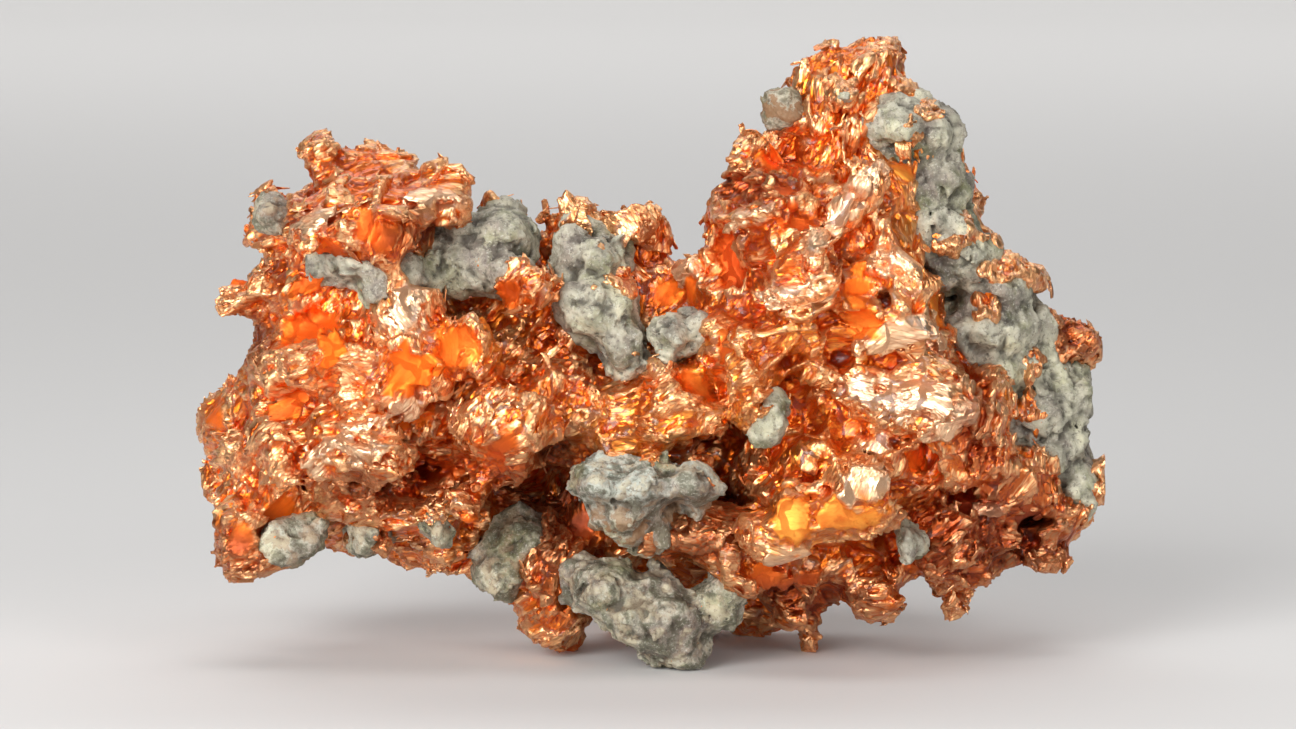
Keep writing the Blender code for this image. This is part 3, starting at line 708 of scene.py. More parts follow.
# %% The copper's field
COVER, COVER_MOST = 0.30, 0.55     # how far the metal reaches over the calcite: usual, and at most
BARE = (
    # where the calcite's face is free of metal
    (1.1, 14.8, 1.5, 1.3), (-2.5, 16.6, 1.9, 3.2), (-8.2, 18, 2.4, 2.2), (-1, 7.6, 3.4, 2),
    (0.4, 2.4, 3.6, 2.4), (13, 21.6, 1.3, 2.6), (18.6, 10.4, 1.6, 3.6), (5.4, 11.2, 0.8, 1.3),
)
TONGUES = (
    # where the metal reaches over the calcite
    (13.2, 18.7, 0.8, 0.5), (15.3, 17.5, 0.9, 0.5), (14.8, 16.1, 0.6, 0.6), (17.1, 13.4, 0.5, 0.5),
    (16.4, 11.1, 1, 0.35), (16.4, 17.8, 0.6, 0.6), (12.4, 24.6, 0.7, 0.4), (-0.9, 17.1, 0.8, 0.6),
    (17.2, 9.4, 0.5, 1.2),
)


def copper_over_calcite(place):
    """How far the metal reaches over the calcite's surface: tongues where a smooth noise is high."""
    reach = COVER + 1.5 * (smooth_noise(place, 1.9, 120) - 0.60) + 0.4 * smooth_noise(place, 0.5, 125)
    reach = reach - 0.9 * zone(place, BARE, 0.3) - 0.5 * (place[2] < 4.5)
    tongue = zone(place, TONGUES, 0.6) * (0.85 + 1.1 * smooth_noise(place, 0.45, 126)) - 0.40
    return np.maximum(reach, np.minimum(tongue, 0.24)).clip(-0.6, COVER_MOST)


MOUTHS = (
    # ellipsoids that keep the deep hollows open: middle, half-sizes, and lean in the front view
    ((-12.6, -8.2, 17.75), (1.55, 3.2, 0.48), -10),
    ((-9.5, -7.8, 17.9), (1.3, 3.2, 0.95), 0),
    ((-12.9, -7.9, 16.9), (0.6, 2.2, 0.6), -35),
    ((-4.6, -6.6, 7.4), (1.4, 3.4, 1.7), 0),
    ((-4.3, -7.6, 9.75), (0.75, 2.6, 0.75), 0),
    ((17.2, -3.4, 6.1), (0.85, 2.4, 0.42), 10),
    ((2.3, -7.2, 9.9), (0.6, 1.4, 0.3), -25),
)


def open_mouths(values):
    """Takes the metal away inside the ellipsoids, where the scaled distance from the middle is
    below 1."""
    for middle, halves, lean in MOUTHS:
        block, place, shape = block_round(middle, max(halves) + 0.5)
        away = place - np.array(middle, np.float32)[:, None]
        cos, sin = math.cos(math.radians(lean)), math.sin(math.radians(lean))
        along, across = away[0] * cos + away[2] * sin, away[2] * cos - away[0] * sin
        far = np.sqrt((along / halves[0]) ** 2 + (away[1] / halves[1]) ** 2 + (across / halves[2]) ** 2)
        far += np.float32(0.30) * smooth_noise(place, 0.7, 345)
        cut = ((1 - far) * min(halves)).reshape(shape)
        values[block] = np.maximum(values[block], cut)


def inside_cad_box(values, voxel=VOXEL, first=FIRST):
    """Cuts a field to the CAD model's box, and a hair above the ground."""
    for axis in range(3):
        shape = [1, 1, 1]
        shape[axis] = -1
        at = ((np.arange(values.shape[axis]) + first[axis]) * voxel).reshape(shape)
        low, high = CAD_BOX[0][axis] / MM + 0.02, CAD_BOX[1][axis] / MM - 0.02
        values = np.maximum(values, np.maximum(low - at, at - high).astype(np.float32))
    return values


CALCITE_DISTANCE = distance_field(CALCITE_NODES)


def make_copper_field():
    """The solid's field with the reach over the calcite, films and plates, relief, pits and mouths."""
    values = copper_distance.copy()
    near = np.abs(CALCITE_DISTANCE) < 0.9
    over = in_chunks(lambda place: [copper_over_calcite(place)], places_in(near))[0]
    values[near] = np.minimum(values[near], CALCITE_DISTANCE[near] - over)
    for film in FILM_FRAMES:
        if film[0] != "pit":
            set_film(values, film)
    near = np.abs(values) < 0.75
    height = in_chunks(lambda place: copper_relief(place)[:1], places_in(near))[0]
    print("relief from", height.min(), "to", height.max(), "mm on", height.size, "voxels")
    values[near] -= height
    for film in FILM_FRAMES:
        if film[0] == "pit":
            set_film(values, film)
    open_mouths(values)
    return inside_cad_box(values)


copper_field = make_copper_field()
print("copper field", round(time.time() - STARTED, 1), "s")

# %% [markdown]
# ## One skin in three parts
# A mesh of the whole skin would be too heavy for one piece, and the back doesn't need the front's
# detail. The field is cut by two planes before it is meshed, so that the parts overlap by a fifth of
# a millimetre, and each is thinned to its own budget. A collapse takes the flattest places first and
# spares the edges.

# %% Skin parts
X_CUT, Y_CUT = -0.5, 1.5
OVERLAP = 0.2
SKIN_PARTS = {
    # name: sign of x - X_CUT or 0 for both, sign of y - Y_CUT, triangles
    "copper_front_left": (-1, -1, 178000),
    "copper_front_right": (1, -1, 192000),
    "copper_back": (0, 1, 105000),
}
WIDE, CLOSE = 1.0, 0.35    # how far the hollow and edge measures look, in millimetres
wide_field = blurred(copper_field, round(WIDE / VOXEL))
close_field = blurred(copper_field, round(CLOSE / VOXEL))
RELIEF_NUMBERS = ("patch", "splinter", "flake", "torn", "window", "plate", "combed")


def store_copper_numbers(obj, names=RELIEF_NUMBERS):
    """Writes what the copper's finish reads at each vertex. A field averaged over a small cube is
    below nought in a hollow and above it on an edge."""
    place = points_of(obj)
    measured = dict(zip(RELIEF_NUMBERS, in_chunks(copper_relief, place)[1:]))
    for name in names:
        store(obj, name, measured[name])
    store(obj, "hollow", -sampled(wide_field, place))
    store(obj, "edge", sampled(close_field, place))
    store(obj, "gold", np.maximum(zone(place, GOLDEN), film_cover(("gold",), place)))
    store(obj, "red", np.maximum(zone(place, REDDENED), film_cover(("red",), place)))
    store(obj, "browned", zone(place, BROWNED_ZONES))
    store(obj, "dark", zone(place, SHADED_HOLLOWS))
    store(obj, "highlight_zone", zone(place, HIGHLIGHT_ZONES))


def dress_copper(obj):
    """The piece belongs to the one body, and stands for the copper node."""
    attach(obj, "root")
    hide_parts("copper")


def copper_skins():
    """Cuts the field, meshes each part and stores what the finish reads."""
    axis_x = ((np.arange(GRID_SHAPE[0]) + FIRST[0]) * VOXEL - X_CUT)[:, None, None]
    axis_y = ((np.arange(GRID_SHAPE[1]) + FIRST[1]) * VOXEL - Y_CUT)[None, :, None]
    parts = []
    for name, (side, depth, budget) in SKIN_PARTS.items():
        part = np.maximum(copper_field, -depth * axis_y - OVERLAP)
        if side:
            part = np.maximum(part, -side * axis_x - OVERLAP)
        points, quads = without_crumbs(*skin_of(part))
        obj = mesh_object(name, points, quads)
        thin_to(obj, budget // (1))
        store_copper_numbers(obj)
        dress_copper(obj)
        parts.append(obj)
        print(name, len(quads), "quads thinned to", len(obj.data.polygons),
              round(time.time() - STARTED, 1), "s")
    return parts


COPPER_SKINS = copper_skins()

# %% [markdown]
# ## Sugary calcite
# Each calcite piece is a clump of blocky knobs about a millimetre wide, with cleavage flats, dusted
# with sugary grains. It touches the metal that grew round it, so near the copper its field is
# swollen until it fills the pocket, and elsewhere it keeps its size.

# %% Calcite pieces
CALCITE_VOXEL = 0.095
CALCITE_TRIANGLES = 150    # for each square millimetre of the plain solid
POCKET_FILL = 0.42         # how far a piece swells towards the copper beside it


def rounded_grains(place, size, salt):
    """Domes: 1 at each patch's own point, falling as the square of the distance from it."""
    offset, owner = patches(place, size, salt, 0.36)
    return 1 - 2.6 * (offset**2).sum(axis=0), hashed(owner, salt + 9)


def calcite_relief(place):
    """Height over the solid, and the tones of knob, grain and cleavage block."""
    bent = place + np.float32(0.22) * vector_noise(place, 0.8, 210)
    knob, knob_tone = rounded_grains(bent, 1.45, 220)
    block, block_tone = facets(bent, 1.0, 240, 0.8)
    chip = facets(bent, 0.36, 245, 0.9)[0]
    grain, grain_tone = rounded_grains(bent, 0.24, 230)
    lump = smooth_noise(place, 1.8, 250)
    crack = (1 - 5.0 * np.abs(smooth_noise(bent, 1.3, 255))).clip(0, 1)
    height = (-0.06 + 0.13 * knob + 0.13 * block + 0.075 * chip + 0.065 * grain + 0.15 * lump
              - 0.04 * crack)
    return height, knob_tone, grain_tone, block_tone, crack


# %% Each calcite node's stand-in
STAIN_AND_SHADE_SHARES = {
    # shares of brown, painted shade on calcite_cavity and calcite_lobe_base, which sit in shadow, and
    # iron stain on the others, and shares of white on the upper half, where a piece has them
    "calcite_tip": (0.85, 0.0),
    "calcite_shoulder": (0.45, 0.0),
    "calcite_lobe_corner": (0.40, 0.0),
    "calcite_lobe_notch": (0.35, 0.0),
    "calcite_lobe_base": (0.50, 0.3),
    "calcite_cavity": (0.40, 0.0),
    "calcite_ledge": (0.80, 1.0),
    "calcite_foot": (0.25, 0.0),
}
BROW_LUMPS = (
    # middles and half-sizes of the calcite that runs on under the brow from calcite_crest
    ((-12.7, -5.8, 17.85), (1.4, 1.1, 0.50)),
    ((-12.0, -7.0, 17.1), (0.48, 0.5, 0.45)),
    ((-11.3, -5.6, 17.5), (1.2, 1.2, 0.7)),
)


def with_lumps(field, first, lumps):
    """The field joined with ellipsoids."""
    at = np.meshgrid(*((np.arange(count) + start) * np.float32(CALCITE_VOXEL)
                       for count, start in zip(field.shape, first)), indexing="ij")
    for middle, halves in lumps:
        far = np.sqrt(sum(((at[axis] - middle[axis]) / halves[axis]) ** 2 for axis in range(3)))
        field = np.minimum(field, (far - 1) * min(halves))
    return field


def calcite_piece(node):
    """The grown, grained stand-in for one calcite node."""
    low, high = (np.array(corner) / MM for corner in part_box(node))
    lumps = BROW_LUMPS if node == "calcite_crest" else ()
    for middle, halves in lumps:
        low = np.minimum(low, np.array(middle) - halves)
        high = np.maximum(high, np.array(middle) + halves)
    first = tuple(int(n) for n in np.floor((low - 0.9) / CALCITE_VOXEL))
    shape = tuple(int(n) for n in np.ceil((high - low + 1.8) / CALCITE_VOXEL) + 1)
    field = with_lumps(distance_field([node], CALCITE_VOXEL, first, shape), first, lumps)
    mask = np.abs(field) < 0.8
    place = places_in(mask, CALCITE_VOXEL, first)
    swell = POCKET_FILL * (1.25 - smoothly_sampled(copper_distance, place) / 0.55).clip(0, 1)
    field[mask] -= in_chunks(calcite_relief, place)[0] + swell
    field = inside_cad_box(field, CALCITE_VOXEL, first)
    points, quads = without_crumbs(*skin_of(field, CALCITE_VOXEL, first))
    obj = mesh_object(node + "_grains", points, quads)
    size = sum(face.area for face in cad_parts[node].data.polygons) / MM**2
    thin_to(obj, int(CALCITE_TRIANGLES * size))
    place = points_of(obj)
    for name, values in zip(("knob", "grain", "block", "crack"), in_chunks(calcite_relief, place)[1:]):
        store(obj, name, values)
    close = blurred(field, round(0.4 / CALCITE_VOXEL))
    store(obj, "hollow", -sampled(close, place, CALCITE_VOXEL, first))
    stain_and_shade, upper_white = STAIN_AND_SHADE_SHARES.get(node, (0.0, 0.0))
    upper = ((place[2] - low[2]) / (high[2] - low[2]) * 2.5 - 0.9).clip(0, 1)
    store(obj, "stain_and_shade", stain_and_shade * (1 - 0.7 * upper_white * upper))
    store(obj, "upper_white", upper_white * upper)
    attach(obj, "root")
    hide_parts(node)
    return obj


CALCITES = [calcite_piece(node) for node in CALCITE_NODES]
print("calcite triangles", sum(len(obj.data.loops) - 2 * len(obj.data.polygons) for obj in CALCITES),
      round(time.time() - STARTED, 1), "s")

# %% [markdown]
# ## Torn leaves
# Where the metal tore, its surface ends in thousands of slivers that lift off like scales. One sliver
# is a flat lens carried along a bent line: a few rings of six points, and a point at each end. All of
# them are worked out at once, as one array with an axis for the slivers, and they run the way that
# the splinters under them run.

# %% Slivers
RINGS = np.array([0.08, 0.36, 0.68, 0.92], np.float32)
AROUND = 6


def slivers(base, out, along, rng, long_by=1.0):
    """Points and faces of one sliver on each base point. Its middle line runs from the base a length
    L along the surface and rises by lift * u^1.5 + curl * u^2; its half-width swells and tapers; its
    cross-section is an ellipse bent into a trough."""
    count = base.shape[0]
    across = np.cross(out, along)
    length = long_by * rng.uniform(0.35, 0.85, count)
    width = rng.uniform(0.14, 0.30, count)
    thick = rng.uniform(0.018, 0.032, count)
    lift, curl = rng.uniform(0.00, 0.16, count), rng.uniform(-0.16, 0.08, count)
    cup, twist = rng.uniform(-0.5, 0.5, count), rng.uniform(-0.7, 0.7, count)
    ragged = rng.uniform(0.7, 1.25, (count, len(RINGS)))

    def line(u):
        rise = lift[:, None] * u**1.5 + curl[:, None] * u**2 - 0.10 * (1 - u) - 0.03
        return (base[:, None] + along[:, None] * (length[:, None] * u)[..., None]
                + out[:, None] * (length[:, None] * rise)[..., None])

    u = RINGS[None, :]
    swell = width[:, None] * ragged * (0.80 + 0.20 * np.sin(np.pi * (0.15 + 0.8 * u)))
    swell = swell * (1 - 0.30 * u**3)
    turn = (2 * np.pi / AROUND * np.arange(AROUND))[None, None, :] + 0 * swell[..., None]
    side = np.cos(turn) * swell[..., None]
    up = np.sin(turn) * thick[:, None, None] + cup[:, None, None] * np.cos(turn) ** 2 * swell[..., None]
    up += np.tan(twist)[:, None, None] * u[..., None] * side * 0.6
    rings = line(u)[:, :, None] + across[:, None, None] * side[..., None]
    rings = rings + out[:, None, None] * up[..., None]
    ends = line(np.array([[0.0, 1.0]]))
    points = np.concatenate([rings.reshape(count, -1, 3), ends], axis=1)

    ring, step = np.meshgrid(np.arange(len(RINGS) - 1), np.arange(AROUND), indexing="ij")
    a, b = ring * AROUND + step, ring * AROUND + (step + 1) % AROUND
    quads = np.stack([a, b, b + AROUND, a + AROUND], axis=-1).reshape(-1, 4)
    tail, tip = len(RINGS) * AROUND, len(RINGS) * AROUND + 1
    last = (len(RINGS) - 1) * AROUND
    step = np.arange(AROUND)
    caps = np.concatenate([
        np.stack([step, np.full(AROUND, tail), (step + 1) % AROUND], axis=-1),
        np.stack([last + step, last + (step + 1) % AROUND, np.full(AROUND, tip)], axis=-1),
    ])
    triangles = np.concatenate([quads[:, [0, 1, 2]], quads[:, [0, 2, 3]], caps])
    triangles = triangles[:, ::-1]
    faces = triangles[None] + (np.arange(count) * points.shape[1])[:, None, None]
    return points, faces


# %% Clouds of slivers
def inside_box(points, margin=0.03):
    """Which slivers lie wholly inside the CAD box."""
    low, high = (np.array(corner) / MM for corner in CAD_BOX)
    return ((points > low + margin) & (points < high - margin)).all(axis=(1, 2))


CLOSE_SLOPE = [np.gradient(close_field, axis=axis) for axis in range(3)]


def sliver_cloud(name, skins, count, seed, long_by=1.0):
    """Slivers on random vertices of the skins: on edges and torn places more than in smooth films."""
    rng = np.random.default_rng(seed)
    place = np.concatenate([points_of(skin) for skin in skins], axis=1)
    numbers = {}
    for key in ("window", "edge", "torn", "hollow"):
        values = []
        for skin in skins:
            flat = np.empty(len(skin.data.vertices), np.float32)
            skin.data.attributes[key].data.foreach_get("value", flat)
            values.append(flat)
        numbers[key] = np.concatenate(values)
    weight = (0.15 + numbers["torn"]) * (1 - numbers["window"]).clip(0, 1)
    weight *= (numbers["edge"] * 6 + 0.5).clip(0.05, 1.5) * (numbers["hollow"] < 0.35)
    calcite_near = sampled(CALCITE_DISTANCE, place) < 0.45
    weight *= ~calcite_near
    chosen = rng.choice(place.shape[1], count, replace=False, p=weight / weight.sum())
    at = place[:, chosen]
    out = unit(np.stack([sampled(slope, at) for slope in CLOSE_SLOPE]))
    offset, owner = broad_patches(at)
    along = bundle_direction(at - offset * np.float32(BROAD), owner, 80)
    along = along * np.where(rng.random(count) < 0.5, -1, 1) + 0.3 * rng.normal(size=(3, count))
    along = unit(along - out * (along * out).sum(axis=0))
    points, faces = slivers(at.T, out.T, along.T, rng, long_by)
    keep = inside_box(points)
    tones = np.repeat(rng.random(count)[keep], points.shape[1])
    points = points[keep]
    faces = faces[:points.shape[0]]
    obj = mesh_object(name, points.reshape(-1, 3), faces.reshape(-1, 3))
    store_copper_numbers(obj, ("patch", "flake", "torn", "window", "plate", "combed"))
    store(obj, "splinter", tones)
    dress_copper(obj)
    print(name, len(points), "slivers,", len(obj.data.polygons), "triangles")
    return obj


few = 1
SLIVERS = [
    sliver_cloud("copper_slivers_front", COPPER_SKINS[:2], 700 // few, 501),
    sliver_cloud("copper_slivers_back", COPPER_SKINS[2:], 260 // few, 502, 1.2),
]

# %% [markdown]
# ## Hooks and loose foils
# A few foils stand clear of the mass: a hooked ribbon beside the tall peak, spikes on the saddle,
# barbs along the lower edge. Each is a profile carried along a path: a thin crumpled ribbon whose
# width and roll change on the way, closed at both ends, with its root sunk into the metal.

# %% Foils
def smooth_path(points, count):
    """A curve through the given points, by Catmull-Rom blending of each four neighbours."""
    points = np.asarray(points, float)
    padded = np.vstack([2 * points[0] - points[1], points, 2 * points[-1] - points[-2]])
    t = np.linspace(0, len(points) - 1 - 1e-6, count)
    i = t.astype(int)
    t = (t - i)[:, None]
    p0, p1, p2, p3 = (padded[i + k] for k in range(4))
    return 0.5 * (2 * p1 + (p2 - p0) * t + (2 * p0 - 5 * p1 + 4 * p2 - p3) * t**2
                  + (3 * p1 - p0 - 3 * p2 + p3) * t**3)


def foil(name, path, widths, face=(0, -1, 0), roll=(0, 0), cup=0.25, thick=0.06, crumple=0.09, salt=400,
         along_count=34, across_count=9):
    """A ribbon on a path: at each station the across direction is the face direction crossed with the
    path's own, rolled by the given angles from root to tip. Its middle sheet bends into a trough by
    cup * v^2 and is crumpled by facets; the two faces stand half the thickness off it."""
    middle = smooth_path(path, along_count)
    s = np.linspace(0, 1, along_count)
    width = np.interp(s, np.linspace(0, 1, len(widths)), widths)
    ahead = np.gradient(middle, axis=0)
    ahead /= np.linalg.norm(ahead, axis=1)[:, None]
    out = np.array(face, float)[None] - ahead * (ahead @ np.array(face, float))[:, None]
    out /= np.linalg.norm(out, axis=1)[:, None]
    across = np.cross(ahead, out)
    angle = np.radians(np.interp(s, [0, 1], roll))[:, None]
    cos, sin = np.cos(angle), np.sin(angle)
    across, out = across * cos + out * sin, out * cos - across * sin
    v = np.linspace(-1, 1, across_count)
    sheet = (middle[:, None] + across[:, None] * (v[None, :, None] * width[:, None, None])
             + out[:, None] * (cup * v**2)[None, :, None] * width[:, None, None])
    flat = sheet.reshape(-1, 3).T.astype(np.float32)
    height = facets(flat, 0.55, salt)[0] + 0.6 * facets(flat, 0.28, salt + 20)[0]
    ragged = smooth_noise(flat, 0.35, salt + 40).reshape(along_count, across_count)
    sheet += out[:, None] * (crumple * height.reshape(along_count, across_count))[..., None]
    sheet += across[:, None] * (0.25 * ragged * np.abs(v)[None] * v[None] * width[:, None])[..., None]
    edge = (1 - 0.7 * np.abs(v) ** 3)[None, :, None] * thick / 2
    top, bottom = sheet + out[:, None] * edge, sheet - out[:, None] * edge
    loop = np.concatenate([top, bottom[:, ::-1]], axis=1)
    around = loop.shape[1]
    i, j = np.meshgrid(np.arange(along_count - 1), np.arange(around), indexing="ij")
    a, b = i * around + j, i * around + (j + 1) % around
    quads = np.stack([a, b, b + around, a + around], axis=-1).reshape(-1, 4)
    last = (along_count - 1) * around
    k = np.arange(across_count - 1)
    first_cap = np.stack([k + 1, k, around - 1 - k, around - 2 - k], axis=-1)
    last_cap = first_cap[:, ::-1] + last
    obj = mesh_object(name, loop.reshape(-1, 3), np.concatenate([quads, first_cap, last_cap]))
    if signed_volume(obj) < 0:
        obj.data.flip_normals()
    store_copper_numbers(obj)
    dress_copper(obj)
    return obj


def signed_volume(obj):
    """Positive when a closed mesh's faces point outwards: the sum of the cones from the origin."""
    obj.data.calc_loop_triangles()
    triangles = np.empty(len(obj.data.loop_triangles) * 3, np.int32)
    obj.data.loop_triangles.foreach_get("vertices", triangles)
    a, b, c = (points_of(obj).T[triangles.reshape(-1, 3)[:, k]] for k in range(3))
    return float((a * np.cross(b, c)).sum() / 6)


def on_front(points, off=0.0):
    """(x, z) points with a depth each, off the first metal behind them; or (x, y, z) as given."""
    forward = np.array([0, off, 0])
    return [point if len(point) == 3 else front_place(*point) - forward for point in points]


# %% The foils in place
FOILS = [
    foil("foil_hook", [(6.0, -2.6, 20.8), (5.6, -3.2, 21.9), (5.2, -3.3, 22.8), (4.7, -3.1, 23.45),
                       (4.25, -2.9, 23.6), (4.1, -2.8, 23.95)], (0.75, 0.62, 0.50, 0.34, 0.22, 0.16),
         roll=(10, 50), cup=0.5, salt=410),
    foil("foil_hook_tooth", [(5.5, -3.0, 22.0), (5.45, -3.2, 22.9), (5.6, -3.1, 23.45)],
         (0.40, 0.30, 0.14), roll=(-30, 20), salt=420),
    foil("foil_slab", on_front([(7.9, 19.4), (8.45, 20.6), (9.1, 21.5), (9.45, 22.1)], 0.42),
         (0.38, 0.52, 0.50, 0.30), roll=(-8, 6), cup=-0.15, salt=430),
    foil("foil_roll", on_front([(7.0, 19.6), (7.1, 18.9), (7.15, 18.2)], 0.42),
         (0.42, 0.50, 0.42), cup=-0.7, salt=440),
    foil("foil_bowl", on_front([(8.3, 18.2), (7.9, 17.3), (7.0, 16.75), (6.0, 16.7), (5.3, 17.1)], 0.45),
         (0.22, 0.42, 0.50, 0.44, 0.22), roll=(-45, -50), cup=0.5, salt=450),
    foil("foil_pit_rim", on_front([(9.7, 18.1), (10.6, 18.2), (11.3, 17.6), (11.7, 16.9)], 0.35),
         (0.20, 0.42, 0.42, 0.20), roll=(-20, -20), cup=-0.2, salt=460),
    foil("foil_saddle_spike", [(-3.3, -2.5, 18.7), (-3.2, -3.0, 19.5), (-3.0, -2.8, 20.5)],
         (1.00, 0.62, 0.10), roll=(20, -10), crumple=0.04, cup=0.12, salt=470),
    foil("foil_saddle_barb",
         [(-1.9, -2.4, 18.8), (-1.0, -2.8, 19.5), (-0.4, -2.8, 20.0), (0.0, -2.6, 19.7)],
         (0.85, 0.66, 0.42, 0.14), roll=(30, -20), crumple=0.04, cup=0.12, salt=480),
    foil("foil_left_spur", [(-17.2, -2.4, 16.6), (-18.2, -3.0, 16.7), (-19.0, -3.2, 16.5)],
         (0.55, 0.50, 0.22), face=(0, -0.8, 0.6), cup=-0.5, salt=490),
]
print(len(FOILS), "foils,", sum(len(obj.data.polygons) for obj in FOILS), "faces",
      round(time.time() - STARTED, 1), "s")

# %% [markdown]
# ## Shader maths as Python
# A finish is easier to read as formulas than as a web of nodes. A small class wraps a socket, and
# its operators add Math nodes, so 1 - mask is an expression. Every other node comes from one method.

# %% A finish's values
class Value:
    """One output socket of a finish. + - * / add Math nodes, clamped() limits it to 0-1."""

    def __init__(self, finish, socket):
        self.finish, self.socket = finish, socket

    def maths(self, operation, first, second=None, clamp=False):
        sockets = {0: first} if second is None else {0: first, 1: second}
        return self.finish.node("ShaderNodeMath", {"operation": operation, "use_clamp": clamp}, sockets)

    def __add__(self, other):
        return self.maths("ADD", self, other)

    def __sub__(self, other):
        return self.maths("SUBTRACT", self, other)

    def __rsub__(self, other):
        return self.maths("SUBTRACT", other, self)

    def __mul__(self, other):
        return self.maths("MULTIPLY", self, other)

    def __truediv__(self, other):
        return self.maths("DIVIDE", self, other)

    def __rtruediv__(self, other):
        return self.maths("DIVIDE", other, self)

    __radd__ = __add__
    __rmul__ = __mul__

    def clamped(self):
        return self.maths("ADD", self, 0.0, clamp=True)

    def step(self, low, high):
        """0 below low, 1 above high, a straight slope between them."""
        return ((self - low) / (high - low)).clamped()


# %% A finish
class Finish:
    """A material under construction."""

    def __init__(self, name):
        self.material = bpy.data.materials.new(name)
        self.material.use_nodes = True
        self.tree = self.material.node_tree
        self.shader = self.tree.nodes["Principled BSDF"]

    def node(self, kind, settings=None, sockets=None, out=0):
        """Adds a node: settings first, such as a Math node's operation, then values or links."""
        node = self.tree.nodes.new(kind)
        for key, setting in (settings or {}).items():
            setattr(node, key, setting)
        for key, given in (sockets or {}).items():
            self.give(node.inputs[key], given)
        return Value(self, node.outputs[out])

    def give(self, socket, given):
        if isinstance(given, Value):
            self.tree.links.new(given.socket, socket)
        elif isinstance(given, tuple) and len(given) == 3 and socket.type == "RGBA":
            socket.default_value = (*given, 1)
        else:
            socket.default_value = given

    def attribute(self, name, out="Fac"):
        return self.node("ShaderNodeAttribute", {"attribute_name": name}, out=out)

    def scaled(self, vector, scale):
        return self.node("ShaderNodeVectorMath", {"operation": "SCALE"}, {0: vector, "Scale": scale})

    def place(self, scale=1.0):
        """Object coordinates in millimetres, times a scale."""
        return self.scaled(self.node("ShaderNodeTexCoord", out="Object"), scale / MM)

    def noise(self, place, scale, detail=3.0, roughness=0.6):
        return self.node("ShaderNodeTexNoise", {}, {
            "Vector": place, "Scale": scale, "Detail": detail, "Roughness": roughness})

    def mix(self, factor, first, second):
        """A blend of two colours."""
        return self.node("ShaderNodeMix", {"data_type": "RGBA"},
                         {0: factor, 6: first, 7: second}, out=2)

    def wear(self, **given):
        """Sets the shader's own sockets: base_color, roughness, metallic, normal and so on."""
        for key, what in given.items():
            self.give(self.shader.inputs[key.replace("_", " ").title()], what)
        return self.material


# %% [markdown]
# ## The copper's finish
# Fresh copper is a pale salmon metal. Light that bounces between two walls of it turns orange and then
# red, so hollows glow dark red by themselves, and the finish paints more of the same: hollows and red
# films get a painted dark red shade, deep hollows a painted near-black shade, and creases and the
# grooves between chips painted orange and brown shade. Edges, torn plates and the highlight zones are
# painted pale cream, a painted highlight, and the plates are finely scored. Smooth films are painted
# saturated orange, a painted reflection of the copper round them, some are golden, and the finish runs
# from satin to polished.

# %% Copper finish
COPPER_BODY, COPPER_PALE = (0.98, 0.28, 0.032), (1.0, 0.57, 0.26)
# PLATE_HIGHLIGHT_CREAM is a painted highlight: the raised plates are painted cream as if they caught the
# light.
PLATE_HIGHLIGHT_CREAM = (1.0, 0.70, 0.45)
WARM_COPPER, FILM_BLUSH = (0.98, 0.23, 0.02), (0.78, 0.11, 0.008)
REFLECTED_ORANGE, DARK_RED_SHADE = (0.95, 0.18, 0.008), (0.50, 0.045, 0.006)
FILM_GOLD, GROOVE_SHADE_BROWN = (0.90, 0.38, 0.055), (0.55, 0.095, 0.010)
CREASE_SHADE_ORANGE, BROWNED_COPPER = (0.90, 0.19, 0.015), (0.30, 0.06, 0.025)
HOLLOW_SHADE_BLACK = (0.07, 0.022, 0.012)


def chips(finish, place):
    """Small flats on a Voronoi pattern of the given places: the tone of each, a height that is the
    cell's own random slope times the way from the cell's point, and how long that way is."""
    pattern = finish.tree.nodes.new("ShaderNodeTexVoronoi")
    pattern.inputs["Scale"].default_value = 1.0
    finish.give(pattern.inputs["Vector"], place)
    slope = finish.node("ShaderNodeVectorMath", {"operation": "SUBTRACT"},
                        {0: Value(finish, pattern.outputs["Color"]), 1: (0.5, 0.5, 0.5)})
    away = finish.node("ShaderNodeVectorMath", {"operation": "SUBTRACT"},
                       {0: place, 1: Value(finish, pattern.outputs["Position"])})
    height = finish.node("ShaderNodeVectorMath", {"operation": "DOT_PRODUCT"},
                         {0: slope, 1: away}, out="Value")
    tone = finish.node("ShaderNodeSeparateColor", {}, {0: Value(finish, pattern.outputs["Color"])})
    return tone, height, Value(finish, pattern.outputs["Distance"])


